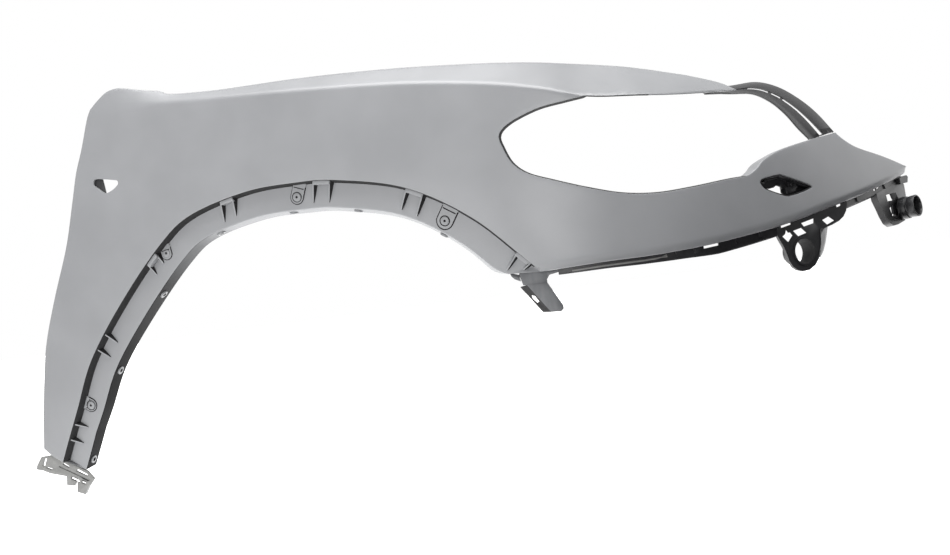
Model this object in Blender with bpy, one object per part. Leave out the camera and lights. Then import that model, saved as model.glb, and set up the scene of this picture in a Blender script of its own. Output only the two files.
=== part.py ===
# Right front fender of a tall car, with the carriers and clips that come fixed to it.
# +X is the front of the car, +Z is up and +Y is inboard, so the painted side faces -Y.
# The skin is drawn on a flat sheet, length along the side by height, and then laid on the body surface.
import math

import bpy
import bmesh
from mathutils import Matrix, Vector
from mathutils.geometry import delaunay_2d_cdt

# The sheet: its length along the side from leg foot to nose, and its height from leg foot to hood corner.
sheetLength = 1.65
sheetHeight = 0.60
footHeight = 0.075
sheetStartShare = -0.376

# The side of the body.
noseDepth = 0.50
waistHeight = 0.22
leanRise = 0.40
rearLean = 0.035
noseLean = 0.090
tuckDrop = 0.27
tuck = 0.022
archRadius = 0.472
archCentreAcross = -0.081
archCentreHeight = 0.031
flareWidth = 0.09
flare = 0.010
shoulderTilt = math.radians(58)
fadedTilt = math.radians(16)

# The moulding: its wall and the flanges round it.
wall = 0.0028
clearance = 0.0003
overrun = 0.010
hair = 0.00001
stepDepth = 0.0120
stepLean = 0.0030
legBandWidth = 0.040
bandWidth = 0.046
bandDepth = 0.0125
returnLean = 0.012
returnDepth = 0.042
edgeRound = 0.0018
doorReturn = 0.018
lampReturn = 0.014
humpReturn = 0.034
chamferDrop = 0.0090
chamferDepth = 0.0050
lowReturn = 0.0160
hoodDrop = 0.014
hoodLedge = 0.025
hoodLip = 0.005
edgeStep = 0.016
innerStep = 0.030
creaseStep = 0.024

# What is moulded on the arch band.
ribLength = 0.033
ribWidth = 0.0070
ribTopWidth = 0.0046
ribRise = 0.0090
padWidth = 0.020
padLength = 0.036
padRise = 0.0022
bossRadius = 0.0062
bossRise = 0.0016
dimpleRadius = 0.0026
collarRadius = 0.0068
collarHole = 0.0036
collarRise = 0.0020
collarDepth = 0.027

# The bolt pads under the hood ledge.
railPadLength = 0.044
railPadWidth = 0.020
railPadThick = 0.0050
railHole = 0.0035

# The black carrier under the nose: a rail, a ring and a hanging bracket in one moulding.
railOut = lowReturn + 2 * clearance
railWall = 0.0030
railTop = 0.0035
railDrop = 0.0205
railDropRear = 0.0140
railShelf = 0.026
railStep = 0.034
clipReach = 0.0045
clipLength = 0.014
beadDrop = 0.0150
beadHeight = 0.0022
beadRise = 0.0040
slotTop = 0.0098
slotHeight = 0.0050
lugThick = 0.012
ringRadius = 0.032
ringTubeRadius = 0.0285
ringBore = 0.0195
ringLength = 0.030
hangerThick = 0.012

# The locating socket and its seat on the hanging bracket.
socketSeat = 0.0012
socketLength = 0.030
socketBaseRadius = 0.0138
socketMouthRadius = 0.0168
socketRimRadius = 0.0188
socketRim = 0.0055
socketWall = 0.0020

# The space behind the skin in which the small pieces sit.
skinGap = 0.0008

# The strut in front of the lamp opening.
strutThick = 0.0030
strutSlot = 0.0034
strutTongue = 0.016
strutShoulder = 0.0015

# The washer guide, the indicator clip, the arch bracket and the sill clip.
guideWall = 0.0018
guideDepth = 0.016
guideFlange = 0.006
guideFlangeThick = 0.0018
fitGap = 0.0006
clipPlate = 0.0024
bracketThick = 0.0020
bracketOut = 0.014
bracketFlank = 0.010
bracketFlange = 0.020
rivetRadius = 0.0024
rivetHead = 0.0042
rivetHeadHeight = 0.0016
sillClipOut = 0.0100
sillClipThick = 0.0040
hookThick = 0.008
sillGroove = 0.0016

# Outlines on the sheet, as shares of its length and its height.
footShares = [(0.002, 0.049), (0.011, 0.027), (0.023, 0.007)]
archShares = [
    (0.023, 0.007), (0.053, 0.145), (0.081, 0.282), (0.126, 0.428), (0.178, 0.566), (0.215, 0.630),
    (0.276, 0.668), (0.327, 0.672), (0.370, 0.663), (0.438, 0.617), (0.498, 0.518), (0.550, 0.373),
]
lowShares = [
    (0.550, 0.373), (0.609, 0.375), (0.656, 0.371), (0.706, 0.372), (0.734, 0.376), (0.791, 0.388),
    (0.858, 0.410), (0.999, 0.452),
]
noseShares = [(0.999, 0.452), (0.954, 0.495), (0.918, 0.528), (0.901, 0.554), (0.891, 0.579)]
strutSeatShares = [(0.891, 0.579), (0.849, 0.573)]
humpShares = [(0.849, 0.573), (0.824, 0.567), (0.803, 0.559), (0.784, 0.543), (0.774, 0.525), (0.762, 0.511)]
lampShares = [
    (0.762, 0.511), (0.742, 0.511), (0.706, 0.507), (0.671, 0.507), (0.639, 0.520), (0.607, 0.548),
    (0.576, 0.581), (0.555, 0.606), (0.542, 0.638), (0.535, 0.682), (0.533, 0.708), (0.538, 0.727),
    (0.551, 0.745), (0.574, 0.763), (0.599, 0.770), (0.620, 0.775),
]
browFadeShare = 0.740
browTipShare = 0.779
hoodTipShares = [(0.766, 0.779), (0.735, 0.834)]
hoodShares = [
    (0.735, 0.834), (0.688, 0.889), (0.627, 0.932), (0.583, 0.939), (0.541, 0.944),
    (0.501, 0.949), (0.419, 0.962), (0.335, 0.970), (0.255, 0.966), (0.220, 0.970), (0.204, 0.971),
    (0.192, 0.974), (0.184, 0.984), (0.167, 0.989), (0.141, 1.001),
]
cornerShares = [(0.141, 1.001), (0.134, 0.999), (0.127, 0.993), (0.121, 0.982), (0.113, 0.964), (0.108, 0.951)]
doorShares = [
    (0.108, 0.951), (0.104, 0.928), (0.095, 0.850), (0.086, 0.785), (0.078, 0.703), (0.066, 0.590),
    (0.045, 0.455), (0.028, 0.337), (0.017, 0.221), (0.002, 0.049),
]
creaseShares = [
    (-0.048, 0.975), (0.108, 0.951), (0.279, 0.919), (0.376, 0.899), (0.448, 0.879), (0.521, 0.848),
    (0.576, 0.813), (0.620, 0.775), (0.671, 0.757), (0.708, 0.745), (0.755, 0.735), (0.800, 0.728),
    (0.861, 0.722),
]

# The side seen from above, as shares of the sheet's length and of the nose depth.
planShares = [
    (-0.576, 0.120), (-0.364, 0.048), (-0.242, 0.020), (-0.121, 0.004), (0.0, 0.0), (0.109, 0.012),
    (0.200, 0.056), (0.279, 0.144), (0.345, 0.276), (0.400, 0.444), (0.445, 0.660), (0.476, 0.900),
    (0.494, 1.160), (0.506, 1.500), (0.512, 1.900),
]
leanStartShare = 0.212
leanEndShare = 0.515
tiltStartShare = -0.261
tiltEndShare = -0.152

# Places along the arch edge, as shares of its length.
ribPlaceShares = [0.038, 0.064, 0.188, 0.215, 0.343, 0.364, 0.497, 0.517, 0.646, 0.671, 0.789, 0.817, 0.967]
padPlaceShares = [0.101, 0.380, 0.622, 0.855]
collarPlaceShares = [0.012, 0.163, 0.316, 0.465, 0.598, 0.710, 0.860]
railPadShares = [0.255, 0.400, 0.560]

# Openings in the skin, as shares of the sheet.
washerShares = [
    (0.775, 0.490), (0.779, 0.497), (0.797, 0.500), (0.803, 0.496), (0.8325, 0.4585), (0.829, 0.4485),
    (0.808, 0.441), (0.799, 0.443), (0.781, 0.466), (0.776, 0.480),
]
indicatorShares = [
    (0.1065, 0.758), (0.109, 0.762), (0.117, 0.759), (0.132, 0.751), (0.1345, 0.746), (0.134, 0.738),
    (0.128, 0.727), (0.121, 0.721), (0.117, 0.724), (0.1105, 0.738), (0.1065, 0.746),
]

# Outlines and places of the small pieces on the sheet.
railShares = (0.583, 1.003)
beadShares = (0.580, 0.666)
railClipShares = [0.610, 0.690, 0.745, 0.880, 0.960]
railSlotShares = [(0.709, 0.724), (0.792, 0.803), (0.866, 0.872), (0.936, 0.941)]
ringShare = (0.817, 0.294)
lugLeftShares = [(0.788, 0.363), (0.793, 0.325)]
lugRightShares = [(0.842, 0.310), (0.848, 0.342), (0.869, 0.351), (0.881, 0.372), (0.888, 0.392)]
lugWindowShares = [(0.799, 0.339), (0.814, 0.344), (0.8265, 0.364), (0.854, 0.362)]
lugWindowLength = 0.017
lugWindowHeight = 0.0098
hangerShares = [
    (0.928, 0.385), (0.936, 0.337), (0.944, 0.315), (0.953, 0.304), (0.967, 0.301), (0.982, 0.300),
    (0.997, 0.304), (1.003, 0.330),
]
hangerWindowShares = [(0.949, 0.338), (0.966, 0.332), (0.973, 0.384), (0.957, 0.390)]
socketShare = (0.985, 0.350)
strutInnerShares = [
    (0.757, 0.733), (0.780, 0.727), (0.802, 0.714), (0.824, 0.685), (0.836, 0.648), (0.845, 0.600),
    (0.852, 0.577),
]
strutOuterShares = [
    (0.757, 0.755), (0.795, 0.769), (0.826, 0.765), (0.854, 0.742), (0.873, 0.699), (0.886, 0.642),
    (0.893, 0.584),
]
strutInnerDepths = [0.0070, 0.0040, 0.0050, 0.0060, 0.0060, 0.0050, wall + skinGap]
strutOuterDepths = [0.0270, 0.0310, 0.0300, 0.0260, 0.0200, 0.0120, wall + skinGap]
strutTongueShares = ((0.859, 0.577), (0.884, 0.583))
strutSlotShares = [(0.22, 0.36), (0.39, 0.50), (0.53, 0.93)]
guideBlockShares = [(0.7975, 0.4965), (0.802, 0.492), (0.822, 0.466), (0.806, 0.4555), (0.792, 0.478)]
indicatorClipShares = [
    (0.099, 0.775), (0.1145, 0.769), (0.1160, 0.757), (0.1185, 0.723), (0.1130, 0.712), (0.0995, 0.735),
]
bracketFoldShares = ((0.534, 0.334), (0.555, 0.252))
bracketEdgeShares = ((0.558, 0.332), (0.569, 0.266), (0.567, 0.254))
bracketFlankShares = ((0.530, 0.336), (0.548, 0.250))
bracketNeckShares = ((0.531, 0.3560), (0.5565, 0.3555))
bracketSlotShares = ((0.5395, 0.300), (0.5445, 0.279))
sillClipShares = [
    (-0.008, -0.0150), (-0.016, -0.0100), (-0.014, 0.0010), (-0.0065, 0.0235), (0.003, 0.0250),
    (0.0100, 0.0235), (0.0225, 0.0040), (0.0455, -0.0290), (0.0515, -0.0520), (0.045, -0.0690),
    (0.029, -0.0530), (0.018, -0.0370), (0.000, -0.0250),
]
sillWindowShares = [
    [(-0.0075, -0.0025), (-0.0045, -0.0035), (0.0000, 0.0180), (-0.0030, 0.0190)],
    [(-0.0035, -0.0090), (0.0030, -0.0160), (0.0040, -0.0120), (-0.0025, -0.0050)],
    [(0.0175, -0.0030), (0.0240, -0.0150), (0.0250, -0.0100), (0.0195, 0.0010)],
    [(0.0320, -0.0260), (0.0440, -0.0440), (0.0450, -0.0380), (0.0340, -0.0190)],
    [(0.0240, -0.0430), (0.0320, -0.0530), (0.0330, -0.0480), (0.0250, -0.0380)],
    [(0.0355, -0.0565), (0.0400, -0.0610), (0.0410, -0.0555), (0.0365, -0.0515)],
]
sillMiddleShare = (0.018, -0.0220)
sillGrooveShares = [(0.0120, -0.0090), (0.0450, -0.0570), (0.0460, -0.0545), (0.0135, -0.0060)]
hookShares = [
    [(0.0190, -0.0320), (0.0300, -0.0490), (0.0250, -0.0670), (0.0165, -0.0630)],
    [(0.0310, -0.0500), (0.0450, -0.0630), (0.0360, -0.0940), (0.0270, -0.0850)],
]


def spline(points, steps):
    """A smooth curve through the points, as a list with steps pieces between neighbours."""
    ends = [[2 * a - b for a, b in zip(points[0], points[1])]] + [list(p) for p in points]
    ends.append([2 * a - b for a, b in zip(points[-1], points[-2])])
    curve = []
    for i in range(1, len(ends) - 2):
        for k in range(steps):
            t = k / steps
            curve.append(tuple(
                0.5 * (2 * b + (c - a) * t + (2 * a - 5 * b + 4 * c - d) * t * t + (3 * b - 3 * c + d - a) * t ** 3)
                for a, b, c, d in zip(ends[i - 1], ends[i], ends[i + 1], ends[i + 2])
            ))
    curve.append(tuple(points[-1]))
    return curve


def between(x, keys, values):
    """The value at x on a line through the keys."""
    if x <= keys[0]:
        low, high = 0, 1
    elif x >= keys[-1]:
        low, high = len(keys) - 2, len(keys) - 1
    else:
        low, high = 0, len(keys) - 1
        while high - low > 1:
            middle = (low + high) // 2
            if keys[middle] <= x:
                low = middle
            else:
                high = middle
    t = (x - keys[low]) / (keys[high] - keys[low])
    return values[low] + (values[high] - values[low]) * t


def smooth(start, end, x):
    t = min(1.0, max(0.0, (x - start) / (end - start)))
    return t * t * (3 - 2 * t)


def onSheet(share):
    return ((share[0] + sheetStartShare) * sheetLength, footHeight + share[1] * sheetHeight)


def sheetCurve(shares, steps=24):
    return spline([onSheet(share) for share in shares], steps)


def lengths(curve):
    total = [0.0]
    for a, b in zip(curve, curve[1:]):
        total.append(total[-1] + math.dist(a, b))
    return total


planCurve = spline([(x * sheetLength, y * noseDepth) for x, y in planShares], 30)
planLengths = lengths(planCurve)
planAcross = [p[0] for p in planCurve]
planInboard = [p[1] for p in planCurve]
planStart = between(0.0, planAcross, planLengths)
planLengths = [length - planStart for length in planLengths]
creaseCurve = sheetCurve(creaseShares, 16)
creaseAlong = [p[0] for p in creaseCurve]
creaseHeights = [p[1] for p in creaseCurve]
planProbe = innerStep / 2


def planAt(s):
    """The point of the side seen from above at length s along it, and the way inboard there."""
    x, y = between(s, planLengths, planAcross), between(s, planLengths, planInboard)
    dx = between(s + planProbe, planLengths, planAcross) - between(s - planProbe, planLengths, planAcross)
    dy = between(s + planProbe, planLengths, planInboard) - between(s - planProbe, planLengths, planInboard)
    return Vector((x, y, 0.0)), Vector((-dy, dx, 0.0)).normalized()


def creaseAt(s):
    return between(s, creaseAlong, creaseHeights)


def tiltAt(s):
    fade = smooth(tiltStartShare * sheetLength, tiltEndShare * sheetLength, s)
    return fadedTilt + (shoulderTilt - fadedTilt) * fade


def insetAt(s, z):
    """How far the side lies inboard of its widest line."""
    if z > waistHeight:
        lean = rearLean + noseLean * smooth(leanStartShare * sheetLength, leanEndShare * sheetLength, s)
        inset = lean * ((z - waistHeight) / leanRise) ** 2
    else:
        inset = tuck * ((z - waistHeight) / tuckDrop) ** 2
    off = math.hypot(s - archCentreAcross, z - archCentreHeight) - archRadius
    return inset - flare * math.exp(-(off / flareWidth) ** 2)


def surfaceAt(s, v):
    """The body point at length s and height v, and the way into the body there."""
    foot, inboard = planAt(s)
    crease = creaseAt(s)
    if v <= crease:
        probe = wall
        slope = (insetAt(s, v + probe) - insetAt(s, v - probe)) / (2 * probe)
        point = foot + inboard * insetAt(s, v) + Vector((0, 0, v))
        return point, (inboard - Vector((0, 0, slope))).normalized()
    tilt, over = tiltAt(s), v - crease
    point = foot + inboard * (insetAt(s, crease) + over * math.sin(tilt))
    point += Vector((0, 0, crease + over * math.cos(tilt)))
    return point, inboard * math.cos(tilt) - Vector((0, 0, math.sin(tilt)))


def rawPoint(s, v, depth=0.0, ledge=0.0, rise=0.0):
    point, inward = surfaceAt(s, v)
    return point + inward * depth + planAt(s)[1] * ledge + Vector((0, 0, rise))


def railPadAt(share):
    """The middle of the flat underside of a bolt pad on the hood ledge."""
    s = (share + sheetStartShare) * sheetLength
    hoodLine = sheetCurve(hoodShares)[::-1]
    v = between(s, [p[0] for p in hoodLine], [p[1] for p in hoodLine])
    middle = rawPoint(s, v, hoodDrop, hoodLedge / 2)
    return middle - Vector((0, 0, wall / 2 + railPadThick))


# The part's zero is on the middle bolt pad, beside its hole, where the mount named in the record is.
padPointOffset = railPadLength / 3
origin = railPadAt(railPadShares[1]) + Vector((padPointOffset, 0, 0))


def pointAt(s, v, depth=0.0, ledge=0.0, rise=0.0):
    return rawPoint(s, v, depth, ledge, rise) - origin


def placeAt(s, v, depth=0.0):
    """A frame on the surface: X along the side, Y up the side and Z out of the body."""
    probe = wall
    point = pointAt(s, v, depth)
    along = (pointAt(s + probe, v) - pointAt(s - probe, v)).normalized()
    out = -surfaceAt(s, v)[1]
    up = out.cross(along).normalized()
    along = up.cross(out)
    return Matrix((along, up, out)).transposed().to_4x4(), point


# Finishes.
finishes = {}


def finish(name, colour, roughness, metallic=0.0):
    if name not in finishes:
        material = bpy.data.materials.new(name)
        material.use_nodes = True
        shader = material.node_tree.nodes["Principled BSDF"]
        shader.inputs["Base Color"].default_value = (*colour, 1.0)
        shader.inputs["Roughness"].default_value = roughness
        shader.inputs["Metallic"].default_value = metallic
        finishes[name] = material
    return finishes[name]


def addMesh(name, mesh, material):
    item = bpy.data.objects.new(name, mesh)
    item.data.materials.append(material)
    bpy.context.scene.collection.objects.link(item)
    return item


def addNode(name, bm, material):
    bmesh.ops.recalc_face_normals(bm, faces=bm.faces)
    bmesh.ops.triangulate(bm, faces=bm.faces)
    mesh = bpy.data.meshes.new(name)
    bm.to_mesh(mesh)
    bm.free()
    return addMesh(name, mesh, material)


def addTool(target, name, bm, operation, solver="EXACT"):
    """A hidden solid that is joined to or cut from the target."""
    tool = addNode(name, bm, target.data.materials[0])
    tool.display_type = "WIRE"
    tool.hide_render = True
    tool.hide_set(True)
    boolean = target.modifiers.new(name, "BOOLEAN")
    boolean.object = tool
    boolean.operation = operation
    boolean.solver = solver
    return tool


def addPrism(bm, low, high):
    """A closed solid between two rings of points."""
    lowVerts = [bm.verts.new(p) for p in low]
    highVerts = [bm.verts.new(p) for p in high]
    count = len(lowVerts)
    for i in range(count):
        j = (i + 1) % count
        bm.faces.new((lowVerts[i], lowVerts[j], highVerts[j], highVerts[i]))
    bm.faces.new(lowVerts[::-1])
    bm.faces.new(highVerts)


def addSweep(bm, rings):
    """A closed solid through a row of rings with the same number of points."""
    rows = [[bm.verts.new(p) for p in ring] for ring in rings]
    count = len(rows[0])
    for first, second in zip(rows, rows[1:]):
        for i in range(count):
            j = (i + 1) % count
            bm.faces.new((first[i], first[j], second[j], second[i]))
    bm.faces.new(rows[0][::-1])
    bm.faces.new(rows[-1])


def sheetPrism(bm, outline, depthOut, depthIn):
    addPrism(bm, [pointAt(s, v, depthOut) for s, v in outline], [pointAt(s, v, depthIn) for s, v in outline])


def circle(radius, sides, centre=(0.0, 0.0), start=0.0):
    turn = 2 * math.pi / sides
    return [
        (centre[0] + radius * math.cos(start + turn * i), centre[1] + radius * math.sin(start + turn * i))
        for i in range(sides)
    ]


def framePrism(bm, frame, outline, out, inside):
    """A prism on a frame, from one height above its plane to another."""
    turn, point = frame
    low = [turn @ Vector((x, y, inside)) + point for x, y in outline]
    high = [turn @ Vector((x, y, out)) + point for x, y in outline]
    addPrism(bm, low, high)


def framed(frame, outline):
    """An outline of the sheet seen square on in a frame."""
    turn, point = frame
    flat = [turn.inverted() @ (pointAt(s, v) - point) for s, v in outline]
    return [(p.x, p.y) for p in flat]


def frameBox(bm, frame, low, high):
    outline = [(low[0], low[1]), (high[0], low[1]), (high[0], high[1]), (low[0], high[1])]
    framePrism(bm, frame, outline, high[2], low[2])


def grown(outline, amount):
    """The outline moved outwards on the sheet by an amount, which is negative for inwards."""
    count = len(outline)
    area = sum(a[0] * b[1] - b[0] * a[1] for a, b in zip(outline, outline[1:] + outline[:1]))
    side = 1 if area > 0 else -1
    moved = []
    for i in range(count):
        before, here, after = outline[i - 1], outline[i], outline[(i + 1) % count]
        first = Vector((here[1] - before[1], before[0] - here[0])).normalized()
        second = Vector((after[1] - here[1], here[0] - after[0])).normalized()
        mitre = (first + second).normalized()
        reach = amount * side / max(0.5, mitre.dot(first))
        moved.append((here[0] + mitre.x * reach, here[1] + mitre.y * reach))
    return moved


# The outline of the skin, with what is folded along each stretch of it.
# A fold row is: outwards on the sheet, depth into the body, level reach inboard, rise.
doorFold = [(edgeRound, edgeRound, 0, 0), (edgeRound, doorReturn - wall, 0, 0), (edgeRound, doorReturn, 0, 0)]
lampFold = [(edgeRound / 2, edgeRound, 0, 0), (edgeRound, lampReturn - wall, 0, 0), (edgeRound, lampReturn, 0, 0)]
humpFold = [(edgeRound / 2, edgeRound, 0, 0), (edgeRound, humpReturn / 2, 0, 0), (edgeRound, humpReturn, 0, 0)]
browFold = [(0, edgeRound, 0, 0), (0, lampReturn - wall, 0, 0), (0, lampReturn, 0, 0)]
lowFold = [
    (chamferDrop, chamferDepth, 0, 0),
    (chamferDrop + stepLean / 3, lowReturn - wall, 0, 0),
    (chamferDrop + stepLean / 3, lowReturn, 0, 0),
]
legFold = [(stepLean, stepDepth, 0, 0), (legBandWidth, bandDepth, 0, 0), (legBandWidth, returnDepth, 0, 0)]
archFold = [
    (stepLean, stepDepth, 0, 0),
    (bandWidth, bandDepth, 0, 0),
    (bandWidth + returnLean, returnDepth, 0, 0),
]
bareFold = [(0, edgeRound / 3, 0, 0), (0, edgeRound * 2 / 3, 0, 0), (0, edgeRound, 0, 0)]
hoodFold = [(0, hoodDrop, 0, 0), (0, hoodDrop, hoodLedge, 0), (0, hoodDrop, hoodLedge, -hoodLip)]
noseFold = [(edgeRound / 2, edgeRound, 0, 0), (edgeRound, lampReturn - wall, 0, 0), (edgeRound, lampReturn, 0, 0)]
archStartTurn = math.radians(-23)
archEndTurn = math.radians(-27)
archTurnReach = 0.06


def sampled(curve, step):
    """Points at even spacing along a curve, with both ends."""
    along = lengths(curve)
    count = max(1, round(along[-1] / step))
    across, up = [p[0] for p in curve], [p[1] for p in curve]
    return [
        (between(along[-1] * i / count, along, across), between(along[-1] * i / count, along, up))
        for i in range(count + 1)
    ]


def browCurve(startShare, endShare):
    """The lamp's upper edge, just above the crease."""
    steps = 40
    places = [startShare + (endShare - startShare) * i / steps + sheetStartShare for i in range(steps + 1)]
    return [(place * sheetLength, creaseAt(place * sheetLength) + hair) for place in places]


def archCurve():
    return sheetCurve(archShares)


def archAt(share):
    """The arch edge at a share of its length: its point and the way to the wheel there, on the sheet."""
    curve = archCurve()
    along = lengths(curve)
    length = along[-1] * share
    s = between(length, along, [p[0] for p in curve])
    v = between(length, along, [p[1] for p in curve])
    towards = Vector((archCentreAcross - s, archCentreHeight - v)).normalized()
    turn = archStartTurn * max(0.0, 1 - length / archTurnReach)
    turn += archEndTurn * max(0.0, 1 - (along[-1] - length) / archTurnReach)
    towards.rotate(Matrix.Rotation(turn, 2))
    return Vector((s, v)), towards


def skinOutline():
    """The loop of edge points, each with its fold rows and its outward way on the sheet."""
    brow = browCurve(lampShares[-1][0], browFadeShare)
    browTip = browCurve(browFadeShare, browTipShare)
    hoodTip = spline([browTip[-1]] + [onSheet(share) for share in hoodTipShares], 24)
    hoodLine = sheetCurve(hoodShares)
    ledgeStart = len(hoodLine) // (len(hoodShares) - 1)
    stretches = [
        (sheetCurve(footShares), doorFold, doorFold),
        (archCurve(), legFold, archFold),
        (sheetCurve(lowShares), lowFold, lowFold),
        (sheetCurve(noseShares), noseFold, noseFold),
        (sheetCurve(strutSeatShares), bareFold, bareFold),
        (sheetCurve(humpShares), humpFold, humpFold),
        (sheetCurve(lampShares), lampFold, lampFold),
        (brow, browFold, browFold),
        (browTip, browFold, bareFold),
        (hoodTip, bareFold, bareFold),
        (hoodLine[:ledgeStart + 1], bareFold, hoodFold),
        (hoodLine[ledgeStart:], hoodFold, hoodFold),
        (sheetCurve(cornerShares), hoodFold, doorFold),
        (sheetCurve(doorShares), doorFold, doorFold),
    ]
    points, folds, arch = [], [], []
    for curve, startFold, endFold in stretches:
        step = edgeStep if lengths(curve)[-1] > 3 * edgeStep else edgeStep / 2
        line = sampled(curve, step)
        for i, point in enumerate(line[:-1]):
            share = i / (len(line) - 1)
            rows = [
                tuple(a + (b - a) * share for a, b in zip(first, second))
                for first, second in zip(startFold, endFold)
            ]
            points.append(point)
            folds.append(rows)
            arch.append(share if startFold is legFold else None)
    return points, folds, arch


def buildSkin():
    """The open sheet of the skin: triangles inside the outline, then three rows of folds round it."""
    points, folds, arch = skinOutline()
    count = len(points)
    archEnd = max(i for i, share in enumerate(arch) if share is not None) + 1
    folds[archEnd], arch[archEnd] = archFold, 1.0
    ways = []
    for i in range(count):
        before, here, after = Vector(points[i - 1]), Vector(points[i]), Vector(points[(i + 1) % count])
        if arch[i] is not None:
            ways.append(archAt(arch[i])[1])
            continue
        first, second = (here - before).normalized(), (after - here).normalized()
        mean = (first + second).normalized()
        way = Vector((mean.y, -mean.x))
        ways.append(way / max(0.7, way.dot(Vector((second.y, -second.x)))))

    creaseFrom, creaseTo = onSheet(cornerShares[-1]), onSheet(lampShares[-1])
    creaseEnds = [
        min(range(count), key=lambda i: math.dist(points[i], creaseFrom)),
        min(range(count), key=lambda i: math.dist(points[i], creaseTo)),
    ]
    flat = [Vector(p) for p in points]
    edges = [(i, (i + 1) % count) for i in range(count)]
    steps = round((creaseTo[0] - creaseFrom[0]) / creaseStep)
    line = [creaseEnds[0]]
    for i in range(1, steps):
        s = creaseFrom[0] + (creaseTo[0] - creaseFrom[0]) * i / steps
        line.append(len(flat))
        flat.append(Vector((s, creaseAt(s))))
    line.append(creaseEnds[1])
    edges += list(zip(line, line[1:]))
    fixed = list(flat)
    rowHeight = innerStep * math.sqrt(3) / 2
    left, right = min(p[0] for p in points), max(p[0] for p in points)
    low, high = min(p[1] for p in points), max(p[1] for p in points)
    for row in range(int((high - low) / rowHeight) + 1):
        v = low + rowHeight * (row + 0.5)
        for column in range(int((right - left) / innerStep) + 2):
            s = left + innerStep * (column + 0.5 * (row % 2))
            here = Vector((s, v))
            if insideLoop(points, here) and min((here - p).length for p in fixed) > innerStep * 0.55:
                flat.append(here)
    verts, _, faces, sources, _, _ = delaunay_2d_cdt(flat, edges, [], 1, hair / 10)

    bm = bmesh.new()
    spot = {}
    made = []
    for vert, source in zip(verts, sources):
        s, v = vert
        made.append(bm.verts.new(pointAt(s, v)))
        for old in source:
            spot[old] = made[-1]
    for face in faces:
        bm.faces.new([made[i] for i in face])
    ring = [spot[i] for i in range(count)]
    for row in range(3):
        outer = []
        for i in range(count):
            reach, depth, ledge, rise = folds[i][row]
            s, v = points[i][0] + ways[i].x * reach, points[i][1] + ways[i].y * reach
            outer.append(bm.verts.new(pointAt(s, v, depth, ledge, rise)))
        for i in range(count):
            j = (i + 1) % count
            bm.faces.new((ring[j], ring[i], outer[i], outer[j]))
        ring = outer
    return bm


def insideLoop(loop, here):
    inside = False
    for a, b in zip(loop, loop[1:] + loop[:1]):
        if (a[1] > here.y) != (b[1] > here.y):
            if here.x < (b[0] - a[0]) * (here.y - a[1]) / (b[1] - a[1]) + a[0]:
                inside = not inside
    return inside


def archSpot(share, reach, side, depth):
    """A point on the arch band: reach from the edge to the wheel, side along the arch, depth into the body."""
    edge, towards = archAt(share)
    along = Vector((-towards.y, towards.x))
    spot = edge + towards * reach + along * side
    return pointAt(spot.x, spot.y, depth)


def addRib(bm, share):
    rings = []
    for reach, top in ((-wall / 4, bandDepth - ribRise), (ribLength, bandDepth + wall / 4)):
        rings.append([
            archSpot(share, reach, -ribWidth / 2, bandDepth + wall / 2),
            archSpot(share, reach, ribWidth / 2, bandDepth + wall / 2),
            archSpot(share, reach, ribTopWidth / 2, top),
            archSpot(share, reach, -ribTopWidth / 2, top),
        ])
    addSweep(bm, rings)


def padOutline():
    """A pad's outline: square at the arch step and round at its far end."""
    radius = padWidth / 2
    end = padLength - radius
    turns = 8
    arc = [
        (end + radius * math.sin(math.pi * i / turns), radius * math.cos(math.pi * i / turns))
        for i in range(turns + 1)
    ]
    return [(-wall / 4, radius)] + arc + [(-wall / 4, -radius)]


def archPrism(bm, share, outline, depthOut, depthIn):
    low = [archSpot(share, reach, side, depthIn) for reach, side in outline]
    high = [archSpot(share, reach, side, depthOut) for reach, side in outline]
    addPrism(bm, low, high)


def addCollar(bm, share, radius, inner, outer, sides=12):
    """A short cylinder through the return flange, from one reach on the sheet to another."""
    ends = []
    for reach in (inner, outer):
        ends.append([archSpot(share, reach, x, collarDepth + y) for x, y in circle(radius, sides)])
    addPrism(bm, ends[0], ends[1])


def returnReach(share, depth):
    """How far from the arch edge the return flange's face lies, at a share of the arch and a depth."""
    width = legBandWidth + (bandWidth - legBandWidth) * share
    return width + returnLean * share * (depth - bandDepth) / (returnDepth - bandDepth)


def railPadFrame(share):
    return Matrix.Identity(4), railPadAt(share) - origin


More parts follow.
